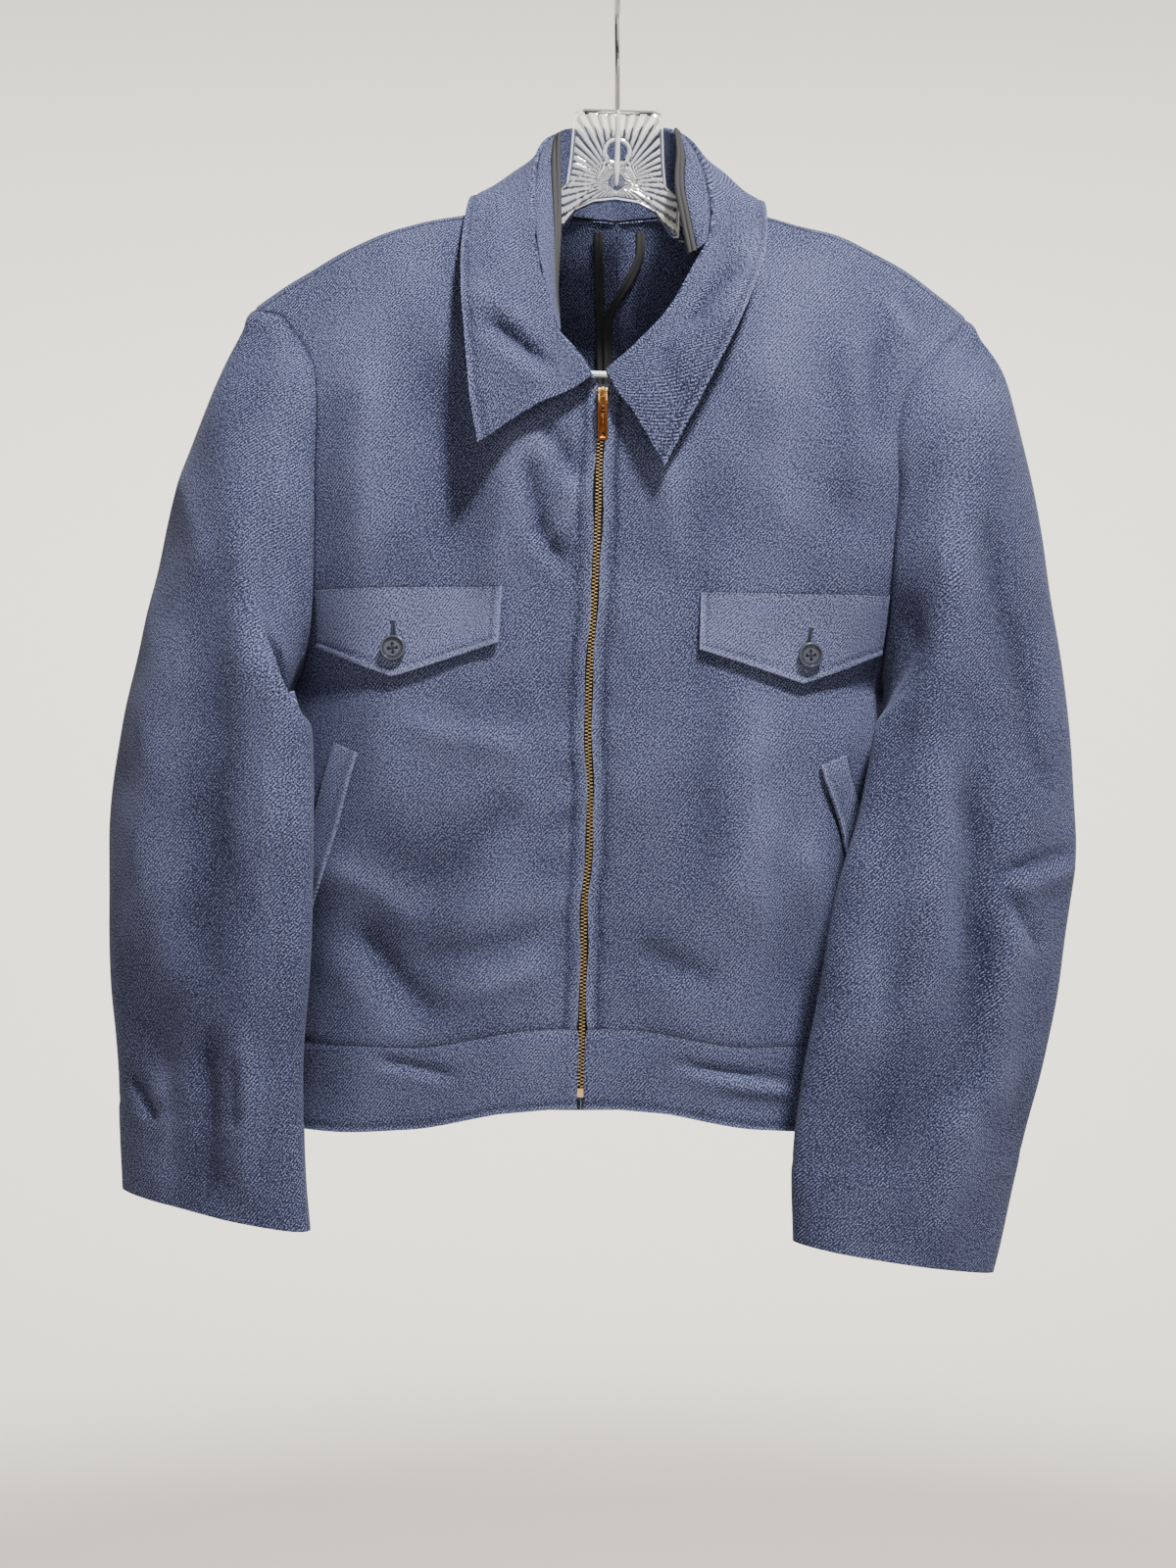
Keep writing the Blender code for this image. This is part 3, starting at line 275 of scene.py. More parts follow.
def smooth(keys, values, at):
    """Cubic curve through rows of values, read at the given places."""
    keys = np.asarray(keys, float)
    values = np.asarray(values, float).reshape(len(keys), -1)
    at = np.clip(np.asarray(at, float), keys[0], keys[-1])
    steps = np.diff(keys)[:, None]
    rises = np.diff(values, axis=0) / steps
    slopes = np.vstack([rises[:1], rises, rises[-1:]])
    weights = np.vstack([steps[:1], steps, steps[-1:]])
    slopes = (slopes[:-1] * weights[1:] + slopes[1:] * weights[:-1]) / (weights[1:] + weights[:-1])
    index = np.clip(np.searchsorted(keys, at, side="right") - 1, 0, len(keys) - 2)
    step = steps[index]
    t = ((at - keys[index]) / step[..., 0])[..., None]
    start, end = values[index], values[index + 1]
    lean_out, lean_in = slopes[index] * step, slopes[index + 1] * step
    return (start * (1 + 2 * t) * (1 - t) ** 2 + end * t**2 * (3 - 2 * t)
            + lean_out * t * (1 - t) ** 2 - lean_in * t**2 * (1 - t))


def by_height(table, z):
    rows = np.asarray(table, float)[::-1]
    return smooth(rows[:, 0], rows[:, 1], z)[..., 0]


def along(points, t):
    points = np.asarray(points, float)
    lengths = np.concatenate([[0], np.cumsum(np.linalg.norm(np.diff(points, axis=0), axis=1))])
    return smooth(lengths / lengths[-1], points, t)


def ridges(across, down, table):
    """Sum of soft ridges: each runs from one place to another, with its half width and height."""
    total = np.zeros(np.broadcast(across, down).shape)
    for x0, z0, x1, z1, width, height in table:
        run = np.array([x1 - x0, z1 - z0], float)
        t = ((across - x0) * run[0] + (down - z0) * run[1]) / (run @ run)
        off = (across - x0) - t * run[0]
        fade = 1 / (1 + np.exp(-9 * (t + 0.05))) / (1 + np.exp(9 * (t - 1.05)))
        total += height * np.exp(-((off / width) ** 2)) * fade
    return total


def draped(points, face):
    facing = -1 if face == "front" else 1
    rows = [row[1:] for row in BODY_DRAPE if row[0] == face]
    depth = np.clip((facing * points[..., 1] - 8) / 34, 0, 1)
    depth = depth**2 * (3 - 2 * depth)
    near_neck = np.clip((-230 - points[..., 2]) / 60, 0, 1)
    moved = points.copy()
    moved[..., 1] += facing * ridges(points[..., 0], points[..., 2], rows) * depth * near_neck
    return moved


def placket_edge(z, outward):
    """How far a front's edge keeps from the zip line: its lip waves a little."""
    closing = np.clip((-291 - z) / 26, 0, 1)
    wave = 0.45 * np.sin(z / 8.7 + outward) + 0.25 * np.sin(z / 19 - 2 * outward)
    band = np.clip((-696 - z) / 10, 0, 1)
    parted = 0.7 * np.exp(-(((z + 362) / 30) ** 2))
    lip = PLACKET_LIP - 0.3 + wave * (1 - 0.6 * band) + 1.2 * band + parted
    return PLACKET_TOP + (lip - PLACKET_TOP) * closing**2 * (3 - 2 * closing)


def zip_point(z, aside, forward):
    z = np.asarray(z, float)
    points = np.stack([by_height(ZIP_X, z) + aside, by_height(ZIP_Y, z) - forward, z], axis=-1)
    return draped(points, "front")


def body_point(side, face, u, v):
    """Points of a body panel: u from the centre line to the side, v from shoulder to waist."""
    u, v = np.broadcast_arrays(np.asarray(u, float), np.asarray(v, float))
    outward = -1 if side == "right" else 1
    down = (v - V_NECK) / (1 - V_NECK)
    if face == "front":
        neck = along(NECK_FRONT[side], np.clip(v / V_NECK, 0, 1))
        z = NECK_FRONT[side][-1][2] + (WAIST_FRONT - NECK_FRONT[side][-1][2]) * down
        line = [by_height(ZIP_X, z) + outward * placket_edge(z, outward), by_height(ZIP_Y, z), z]
        arm, rows, toward = ARM_FRONT[side], FRONT_ROWS, -1
    else:
        neck = along(NECK_BACK[side], np.clip(v / V_NECK, 0, 1))
        z = NECK_BACK[side][-1][2] + (WAIST_SIDE - NECK_BACK[side][-1][2]) * down
        line = [by_height(BACK_X, z), by_height(BACK_Y, z), z]
        arm, rows, toward = ARM_BACK[side], BACK_ROWS, 1
    inner = np.where((v < V_NECK)[..., None], neck, np.stack(line, axis=-1))
    outer = np.where(
        (v < V_ARM)[..., None],
        along(arm, np.clip(v / V_ARM, 0, 1)),
        along(SIDE_SEAM[side], np.clip((v - V_ARM) / (1 - V_ARM), 0, 1)),
    )
    table = np.asarray(rows, float)
    roundness, bulge, crown = np.moveaxis(smooth(table[:, 0], table[:, 1:], v), -1, 0)
    across = u + roundness * (np.sin(math.pi / 2 * u) - u)
    depth = u + roundness * (1 - np.cos(math.pi / 2 * u) - u)
    fall = np.clip((across - 0.1) / 0.45, 0, 1)
    height = u + roundness * (fall**2 * (3 - 2 * fall) - u)
    share = np.stack([across, depth, height], axis=-1)
    points = inner + (outer - inner) * share
    points[..., 1] += toward * bulge * np.sin(math.pi * u)
    points[..., 2] += crown * np.sin(math.pi * u**1.25)
    return draped(points, face)


def body_grid(side, face, fine=FINE):
    rows = np.concatenate([
        np.linspace(0, V_NECK, NECK_STEPS * fine + 1),
        np.linspace(V_NECK, V_ARM, ARM_STEPS * fine + 1)[1:],
        np.linspace(V_ARM, 1, SIDE_STEPS * fine + 1)[1:],
    ])
    u = np.linspace(0, 1, ACROSS_STEPS * fine + 1)
    return body_point(side, face, u[None, :], rows[:, None])


def band_grid(side, front, back):
    """Half of the waistband, from centre front to centre back, hung from the panels' edges."""
    top = np.concatenate([front[-1], back[-1, ::-1][1:]])
    t = np.linspace(0, 1, len(top))
    deeper = np.clip((t - 0.1) / 0.2, 0, 1)
    height = BAND_FRONT + (BAND_SIDE - BAND_FRONT) * deeper**2 * (3 - 2 * deeper)
    middle = (front[-1, 0, 0] + back[-1, 0, 0]) / 2
    outward = -1 if side == "right" else 1
    rows = []
    for share in np.linspace(0, 1, 3 * FINE + 1):
        row = top.copy()
        row[:, 2] -= height * share
        row[:, 0] = middle + (top[:, 0] - middle) * (1 - 0.012 * math.sin(math.pi * share))
        row[:, 1] *= 1 - 0.03 * share
        edge = np.clip(1 - t * (len(t) / FINE) / 2, 0, 1)
        line = by_height(ZIP_X, row[:, 2]) + outward * placket_edge(row[:, 2], outward)
        row[:, 0] += edge * (line - row[:, 0])
        row[-1, 0] = top[-1, 0]
        rows.append(row)
    rows[0] = top
    return np.array(rows)


def section_angles(side, k, count):
    turn, under_turn = SLEEVE_TURN[side]
    f = np.linspace(0, 1, count + 1)[:-1]
    ramp = min(1.0, k / 3)
    lean = turn + (under_turn - turn) * (1 - np.cos(2 * math.pi * f)) / 2
    return 2 * math.pi * f + ramp * np.radians(lean)


def sleeve_grid(side, armhole):
    """Rings of the whole sleeve, from the armhole to the cuff."""
    count = len(armhole)
    rings = [armhole]
    angles = [section_angles(side, 0, count)]
    for k, row in enumerate(SLEEVES[side], start=1):
        outer, inner, half_depth = np.array(row[:3]), np.array(row[3:6]), row[6]
        angle = section_angles(side, k, count)
        ring = (outer + inner) / 2 - (inner - outer) / 2 * np.cos(angle)[:, None]
        ring[:, 1] -= half_depth * np.sin(angle)
        rings.append(ring)
        angles.append(angle)
    rings = np.array(rings)
    gaps = np.linalg.norm(np.diff(rings, axis=0), axis=2).mean(axis=1)
    keys = np.concatenate([[0], np.cumsum(gaps)])
    at = np.linspace(0, keys[-1], SLEEVE_STEPS * FINE + 1)
    shape = (len(at), count)
    grid = smooth(keys, rings.reshape(len(rings), -1), at).reshape(*shape, 3)
    turn = np.degrees(smooth(keys, np.array(angles), at).reshape(shape))
    centre = grid.mean(axis=1, keepdims=True)
    away = grid - centre
    away /= np.linalg.norm(away, axis=2, keepdims=True)
    table = [(a0, z0, a1, z1, width, height)
             for which, z0, a0, z1, a1, width, height in SLEEVE_DRAPE if which == side]
    settled = np.clip(at / keys[3], 0, 1)[:, None] ** 2
    lift = ridges(turn, grid[..., 2], table) * settled
    return grid + away * lift[..., None]


def ring_part(grid, start, stop):
    count = grid.shape[1]
    columns = [i % count for i in range(start * FINE, stop * FINE + 1)]
    return grid[:, columns]


def collar_grid(neck):
    table = np.asarray(COLLAR, float)
    lengths = np.concatenate([[0], np.cumsum(np.linalg.norm(np.diff(neck, axis=0), axis=1))])
    at = lengths / lengths[-1]
    roll = smooth(table[:, 0], table[:, 1:4], at)
    edge = smooth(table[:, 0], table[:, 4:7], at)
    stand_up = (roll - neck) / np.linalg.norm(roll - neck, axis=1, keepdims=True)
    foot = neck + stand_up * COLLAR_RISE
    rolled_in = roll + (foot - roll) * 0.12 - [0, 0, 1.5]
    rolled_out = roll + (edge - roll) * 0.12 - [0, 0, 1.0]
    behind = np.clip((at * (1 - at) - 0.19) / 0.04, 0, 1)[:, None]
    leaf = (roll + edge) / 2 + [0, -1.5, 2.0] + behind * [0, 4.5, 0]
    stand = (foot + roll) / 2
    lines = np.array([foot, stand, rolled_in, roll, rolled_out, leaf, edge])
    keys = np.array([0, 0.24, 0.40, 0.46, 0.52, 0.76, 1.0])
    t = np.concatenate([np.linspace(0, 0.3, 2 * FINE + 1), np.linspace(0.3, 0.56, 3 * FINE + 1)[1:],
                        np.linspace(0.56, 1.0, 4 * FINE + 1)[1:]])
    grid = smooth(keys, lines.reshape(len(keys), -1), t)
    return grid.reshape(len(t), len(neck), 3)


def grid_normals(grid, sign):
    along_v = np.gradient(grid, axis=0)
    along_u = np.gradient(grid, axis=1)
    normals = np.cross(along_u, along_v) * sign
    return normals / np.maximum(np.linalg.norm(normals, axis=2, keepdims=True), 1e-9)


def share_seams(pieces, reach):
    """One normal at each shared seam point, no longer than reach when it is mitred."""
    meeting = {}
    for piece in pieces.values():
        for key, normal in zip(piece["keys"], piece["normals"].reshape(-1, 3)):
            meeting.setdefault(key, {}).setdefault(piece["family"], []).append(normal)
    for piece in pieces.values():
        flat = piece["normals"].reshape(-1, 3)
        for i, key in enumerate(piece["keys"]):
            groups = meeting[key]
            if len(groups) == 1 and len(next(iter(groups.values()))) == 1:
                continue
            families = [np.sum(normals, axis=0) for normals in groups.values()]
            mean = np.sum([total / np.linalg.norm(total) for total in families], axis=0)
            mean /= max(1e-6, np.linalg.norm(mean))
            flat[i] = mean / max(1 / reach, mean @ flat[i])


# Height of the cloth's own unevenness, and how much the creases are deepened
RIPPLE = 8.0
DEEPER = 1.6


def ripple(points):
    """Faint unevenness of cloth, from 30 to 130 mm long."""
    draw = np.random.default_rng(7)
    total = np.zeros(points.shape[:-1])
    for _ in range(22):
        direction = draw.normal(size=3) * [1.0, 1.0, 0.62]
        direction /= np.linalg.norm(direction)
        length = draw.uniform(30, 130)
        total += np.sin(points @ direction * 2 * math.pi / length + draw.uniform(0, 6.28)) * length
    return total / 22 / 130 * RIPPLE


def relief(kind, points, normals):
    """How far a shell rises over its solid's form, in creases and unevenness."""
    total = ripple(points)
    for face, facing in (("front", -1), ("back", 1)):
        rows = [row[2:] for row in CREASES if row[0] == kind and row[1] == face]
        weight = np.clip(facing * normals[..., 1] * 2.2 - 0.2, 0, 1)
        total += short_creases(points[..., 0], points[..., 2], rows) * weight * DEEPER
    return total


def short_creases(x, z, table):
    """Creases between two points, uneven and fading at the ends: a negative width is a pressed fold."""
    total = np.zeros(x.shape)
    for x0, z0, x1, z1, width, height in table:
        run = np.array([x1 - x0, z1 - z0], float)
        length = math.hypot(*run)
        run /= length
        t = (x - x0) * run[0] + (z - z0) * run[1]
        off = (x - x0) * run[1] - (z - z0) * run[0]
        off += 0.12 * width * np.sin(t / 11 + x0) + 1.2 * np.sin(t / 37 + z0)
        fade = np.clip((t + 6) / (0.3 * length), 0, 1) * np.clip((length + 6 - t) / (0.3 * length), 0, 1)
        fade = fade**2 * (3 - 2 * fade)
        if width < 0:
            shape = np.exp(-np.abs(off / width))
        else:
            beside = (off - 1.9 * width) / (1.2 * width)
            shape = np.exp(-(np.abs(off / width * 1.15) ** 1.5)) - 0.3 * np.exp(-(beside**2))
        total += height * fade * shape * (0.85 + 0.15 * np.sin(t / 17))
    return total


def trimmed(grid, normals, gap):
    moved = grid.copy()
    mitre = np.linalg.norm(normals, axis=2, keepdims=True)
    for edge, inside in ((0, 1), (-1, -2)):
        step = grid[inside] - grid[edge]
        step /= np.maximum(np.linalg.norm(step, axis=1, keepdims=True), 1e-9)
        moved[edge] += step * gap * mitre[edge]
    for edge, inside in ((0, 1), (-1, -2)):
        step = grid[:, inside] - grid[:, edge]
        step /= np.maximum(np.linalg.norm(step, axis=1, keepdims=True), 1e-9)
        moved[:, edge] += step * gap * mitre[:, edge]
    return moved


def mesh_object(name, points, quads, finish, places=None, angle=50.0, shade_and_wear=None):
    """A mesh object from points in millimetres and four-cornered faces."""
    mesh = bpy.data.meshes.new(name)
    quads = np.asarray(quads, np.int32)
    points = np.asarray(points, float)
    mesh.vertices.add(len(points))
    mesh.vertices.foreach_set("co", (points * MM).ravel())
    mesh.loops.add(quads.size)
    mesh.loops.foreach_set("vertex_index", quads.ravel())
    mesh.polygons.add(len(quads))
    mesh.polygons.foreach_set("loop_start", np.arange(0, quads.size, quads.shape[1], dtype=np.int32))
    mesh.update(calc_edges=True)
    mesh.validate()
    if places is not None:
        layer = mesh.uv_layers.new(name="Cloth")
        layer.data.foreach_set("uv", np.asarray(places, float)[quads.ravel()].ravel())
    if shade_and_wear is not None:
        # Per-point tone of painted shade and painted highlight, partly real wear, read by the twill's shader
        shade_and_wear_tone = mesh.attributes.new("ShadeAndWear", "FLOAT", "POINT")
        shade_and_wear_tone.data.foreach_set("value", np.asarray(shade_and_wear, np.float32))
    mesh.shade_smooth()
    mesh.set_sharp_from_angle(angle=math.radians(angle))
    mesh.materials.append(finish)
    made = bpy.data.objects.new(name, mesh)
    bpy.context.scene.collection.objects.link(made)
    return made


def add_shell(name, outer, inner, sign, finish, places, angle=50.0, shade_and_wear=None):
    """A closed thin shell between two grids of points."""
    rows, columns = outer.shape[:2]
    count = rows * columns
    index = np.arange(count).reshape(rows, columns)
    top = np.stack([index[:-1, :-1], index[:-1, 1:], index[1:, 1:], index[1:, :-1]], axis=-1)
    top = top.reshape(-1, 4)
    rim = np.concatenate([index[0], index[1:, -1], index[-1, -2::-1], index[-2:0:-1, 0]])
    after = np.roll(rim, -1)
    side = np.stack([after, rim, rim + count, after + count], axis=-1)
    quads = np.concatenate([top, top[:, ::-1] + count, side])
    if sign < 0:
        quads = quads[:, ::-1]
    points = np.concatenate([outer.reshape(-1, 3), inner.reshape(-1, 3)])
    flat = places.reshape(-1, 2)
    if shade_and_wear is not None:
        shade_and_wear = np.concatenate([shade_and_wear.ravel(), shade_and_wear.ravel()])
    return mesh_object(name, points, quads, finish, np.concatenate([flat, flat]), angle, shade_and_wear)


def lengths_over(grid):
    """Arc lengths across the columns and, as a mean, down the rows."""
    across = np.linalg.norm(np.diff(grid, axis=1), axis=2)
    across = np.concatenate([np.zeros((len(grid), 1)), np.cumsum(across, axis=1)], axis=1)
    down = np.linalg.norm(np.diff(grid, axis=0), axis=2).mean(axis=1)
    down = np.concatenate([[0], np.cumsum(down)])
    return across, np.broadcast_to(down[:, None], across.shape)


def declare_cloth(piece, node):
    """Parents a shell to the jacket and hides its node's solid, which the shell stands in for."""
    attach(piece, "jacket")
    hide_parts(node)


# Materials


def new_material(name):
    made = bpy.data.materials.new(name)
    made.use_nodes = True
    return made, made.node_tree, made.node_tree.nodes["Principled BSDF"]


def put(tree, kind, values=None, links=None, **settings):
    """A shader node with its constants and its links set."""
    node = tree.nodes.new(kind)
    for key, value in settings.items():
        setattr(node, key, value)
    for key, value in (values or {}).items():
        node.inputs[key].default_value = value
    for key, source in (links or {}).items():
        tree.links.new(source, node.inputs[key])
    return node


def twill_material(name, dark, mid, light, period=1.8, ribs=0.22, shade_and_wear_tone=0.3):
    """Heather wool twill: slanted ribs, two-tone fibres and a soft nap, laid by the cloth's own places."""
    made, tree, shader = new_material(name)
    places = put(tree, "ShaderNodeUVMap", uv_map="Cloth").outputs["UV"]
    slope = math.radians(52)
    turn = 2 * math.pi / period
    across = put(tree, "ShaderNodeVectorMath", {1: (math.sin(slope) * turn, math.cos(slope) * turn, 0)},
                 {0: places}, operation="DOT_PRODUCT").outputs["Value"]
    bend = put(tree, "ShaderNodeTexNoise", {"Scale": 0.03, "Detail": 2.0}, {"Vector": places})
    shift = put(tree, "ShaderNodeMath", {1: 7.0}, {0: bend.outputs["Fac"]}, operation="MULTIPLY")
    phase = put(tree, "ShaderNodeMath", None, {0: across, 1: shift.outputs[0]}, operation="ADD")
    wave = put(tree, "ShaderNodeMath", None, {0: phase.outputs[0]}, operation="SINE").outputs[0]
    ribs_at = put(tree, "ShaderNodeMath", {1: 1 / (2 * math.pi)}, {0: phase.outputs[0]}, operation="MULTIPLY")
    run = put(tree, "ShaderNodeVectorMath", {1: (math.cos(slope) * 0.5, -math.sin(slope) * 0.5, 0)},
              {0: places}, operation="DOT_PRODUCT").outputs["Value"]
    yarn = put(tree, "ShaderNodeCombineXYZ", None, {"X": ribs_at.outputs[0], "Y": run}).outputs["Vector"]
    fibre = put(tree, "ShaderNodeTexNoise", {"Scale": 2.0, "Detail": 1.5, "Roughness": 0.6},
                {"Vector": yarn}).outputs["Fac"]
    mottle = put(tree, "ShaderNodeTexNoise", {"Scale": 0.035, "Detail": 4.0}, {"Vector": places})
    ribbed = put(tree, "ShaderNodeMath", {1: ribs}, {0: wave}, operation="MULTIPLY").outputs[0]
    specks = put(tree, "ShaderNodeMath", {1: 3.6, 2: -1.3}, {0: fibre}, operation="MULTIPLY_ADD")
    cloudy = put(tree, "ShaderNodeMath", {1: 0.16, 2: -0.08}, {0: mottle.outputs["Fac"]},
                 operation="MULTIPLY_ADD")
    tone = put(tree, "ShaderNodeMath", None, {0: ribbed, 1: specks.outputs[0]}, operation="ADD")
    tone = put(tree, "ShaderNodeMath", None, {0: tone.outputs[0], 1: cloudy.outputs[0]}, operation="ADD")
    # Painted shade and painted highlight, partly real wear: each point's ShadeAndWear value shifts the tone
    shade_and_wear_fac = put(tree, "ShaderNodeAttribute", attribute_name="ShadeAndWear").outputs["Fac"]
    tone = put(tree, "ShaderNodeMath", {1: shade_and_wear_tone}, {0: shade_and_wear_fac, 2: tone.outputs[0]}, operation="MULTIPLY_ADD")
    ramp = tree.nodes.new("ShaderNodeValToRGB")
    ramp.color_ramp.elements[0].position = 0.12
    ramp.color_ramp.elements[0].color = (*dark, 1)
    ramp.color_ramp.elements[1].position = 1.0
    ramp.color_ramp.elements[1].color = (*light, 1)
    middle = ramp.color_ramp.elements.new(0.5)
    middle.color = (*mid, 1)
    tree.links.new(tone.outputs[0], ramp.inputs["Fac"])
    tree.links.new(ramp.outputs["Color"], shader.inputs["Base Color"])
    height = put(tree, "ShaderNodeMath", {1: 0.5}, {0: wave, 2: fibre}, operation="MULTIPLY_ADD")
    bump = put(tree, "ShaderNodeBump", {"Strength": 0.45, "Distance": 0.0004},
               {"Height": height.outputs[0]})
    tree.links.new(bump.outputs["Normal"], shader.inputs["Normal"])
    shader.inputs["Roughness"].default_value = 0.92
    shader.inputs["Specular IOR Level"].default_value = 0.12
    shader.inputs["Sheen Weight"].default_value = 0.05
    shader.inputs["Sheen Roughness"].default_value = 0.5
    shader.inputs["Sheen Tint"].default_value = (0.62, 0.68, 0.9, 1)
    return made


def plain_material(name, colour, roughness, metallic=0.0, bump=0.0, scale=900.0):
    made, tree, shader = new_material(name)
    shader.inputs["Base Color"].default_value = (*colour, 1)
    shader.inputs["Roughness"].default_value = roughness
    shader.inputs["Metallic"].default_value = metallic
    if bump:
        places = put(tree, "ShaderNodeTexCoord").outputs["Object"]
        noise = put(tree, "ShaderNodeTexNoise", {"Scale": scale, "Detail": 2.0}, {"Vector": places})
        raised = put(tree, "ShaderNodeBump", {"Strength": 0.5, "Distance": bump},
                     {"Height": noise.outputs["Fac"]})
        tree.links.new(raised.outputs["Normal"], shader.inputs["Normal"])
    return made


def clear_material(name, roughness=0.03, colour=(0.97, 0.98, 0.98), clear=1.0):
    made, _, shader = new_material(name)
    shader.inputs["Base Color"].default_value = (*colour, 1)
    shader.inputs["Roughness"].default_value = roughness
    shader.inputs["IOR"].default_value = 1.49
    shader.inputs["Transmission Weight"].default_value = clear
    return made


TWILL = twill_material("wool_twill", (0.005, 0.006, 0.015), (0.0285, 0.034, 0.081), (0.16, 0.178, 0.305))
TRIM = plain_material("charcoal_binding", (0.017, 0.017, 0.02), 0.85, bump=0.0003)
TAPE = plain_material("zip_tape", (0.018, 0.02, 0.035), 0.9, bump=0.0003)
THREAD = plain_material("thread", (0.015, 0.019, 0.042), 0.85)
# Dark thread for the cuff stitches and the button's cross, also used for lines of painted shade in seams and
# the buttonhole's slit
DARK_THREAD_AND_SHADE = plain_material("dark_thread_and_shade", (0.005, 0.006, 0.013), 0.9)
BRASS = plain_material("brass", (0.86, 0.60, 0.26), 0.34, 1.0)
COPPER = plain_material("copper_tab", (0.15, 0.052, 0.017), 0.32, 1.0)
BUTTON = plain_material("button", (0.017, 0.02, 0.034), 0.18)
# A lighter copy of the button's colour: painted highlight on the rim's top and the centre disc
BUTTON_HIGHLIGHT = plain_material("button_painted_highlight", (0.042, 0.049, 0.072), 0.22)
STEEL = plain_material("steel", (0.62, 0.63, 0.65), 0.2, 1.0)
CLEAR = clear_material("clear_plastic")
# Opaque white for the clear hanger bar: painted highlight
BAR_HIGHLIGHT = plain_material("bar_plastic_painted_highlight", (0.86, 0.87, 0.87), 0.25)
# Whitish half-clear and grey clear copies of the plate's plastic: painted highlight and painted shade on the
# flutes
PLASTIC_HIGHLIGHT = clear_material("plastic_painted_highlight", 0.08, (0.97, 0.98, 0.99), 0.6)
PLASTIC_SHADE = clear_material("plastic_painted_shade", 0.05, (0.30, 0.31, 0.34), 1.0)


# Stitches


def stitch_run(line, normals, pitch=3.3, length=2.3, radius=0.36):
    """Small stitches along a line of points in millimetres that lies on the cloth."""
    steps = np.linalg.norm(np.diff(line, axis=0), axis=1)
    keys = np.concatenate([[0], np.cumsum(steps)])
    starts = np.arange(pitch / 2, keys[-1] - pitch / 2, pitch)

    def read(values, at):
        return np.stack([np.interp(at, keys, values[:, k]) for k in range(3)], axis=-1)

    a, b = read(line, starts - length / 2), read(line, starts + length / 2)
    middle, normal = (a + b) / 2, read(normals, starts)
    normal /= np.linalg.norm(normal, axis=1, keepdims=True)
    aside = np.cross(b - a, normal)
    aside /= np.linalg.norm(aside, axis=1, keepdims=True)
    points = np.stack([a, middle + aside * radius, middle + normal * radius, middle - aside * radius,
                       middle - normal * radius, b], axis=1)
    faces = []
    for i in range(len(starts)):
        o = i * 6
        for j, k in ((1, 2), (2, 3), (3, 4), (4, 1)):
            faces.append((o, o + j, o + k))
            faces.append((o + 5, o + k, o + j))
    return points.reshape(-1, 3), np.array(faces, int).reshape(-1, 3)


# Painted shade along a seam: dark stitches that overlap into one continuous line
SEAM_SHADE_LINE = {"pitch": 1.7, "length": 2.4, "radius": 0.5}


def add_stitches(name, runs, finish=None, **sizes):
    """One object from several runs of stitches."""
    points, faces, start = [], [], 0
    for line, normals in runs:
        p, f = stitch_run(np.asarray(line), np.asarray(normals), **sizes)
        points.append(p)
        faces.append(f + start)
        start += len(p)
    made = mesh_object(name, np.concatenate(points), np.concatenate(faces), finish or THREAD, angle=80)
    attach(made, "jacket")
    return made


def inset_row(grid, normals, edge, distance):
    """The line at a distance from a grid's first or last row, on its outer face."""
    order = grid if edge == 0 else grid[::-1]
    towards = normals if edge == 0 else normals[::-1]
    steps = np.linalg.norm(np.diff(order, axis=0), axis=2)
    keys = np.concatenate([np.zeros((1, grid.shape[1])), np.cumsum(steps, axis=0)])
    line = np.empty((grid.shape[1], 3))
    facing = np.empty_like(line)
    for j in range(grid.shape[1]):
        for k in range(3):
            line[j, k] = np.interp(distance, keys[:, j], order[:, j, k])
            facing[j, k] = np.interp(distance, keys[:, j], towards[:, j, k])
    return line, facing


def inset_column(grid, normals, edge, distance):
    return inset_row(grid.transpose(1, 0, 2), normals.transpose(1, 0, 2), edge, distance)


# The sewn shell


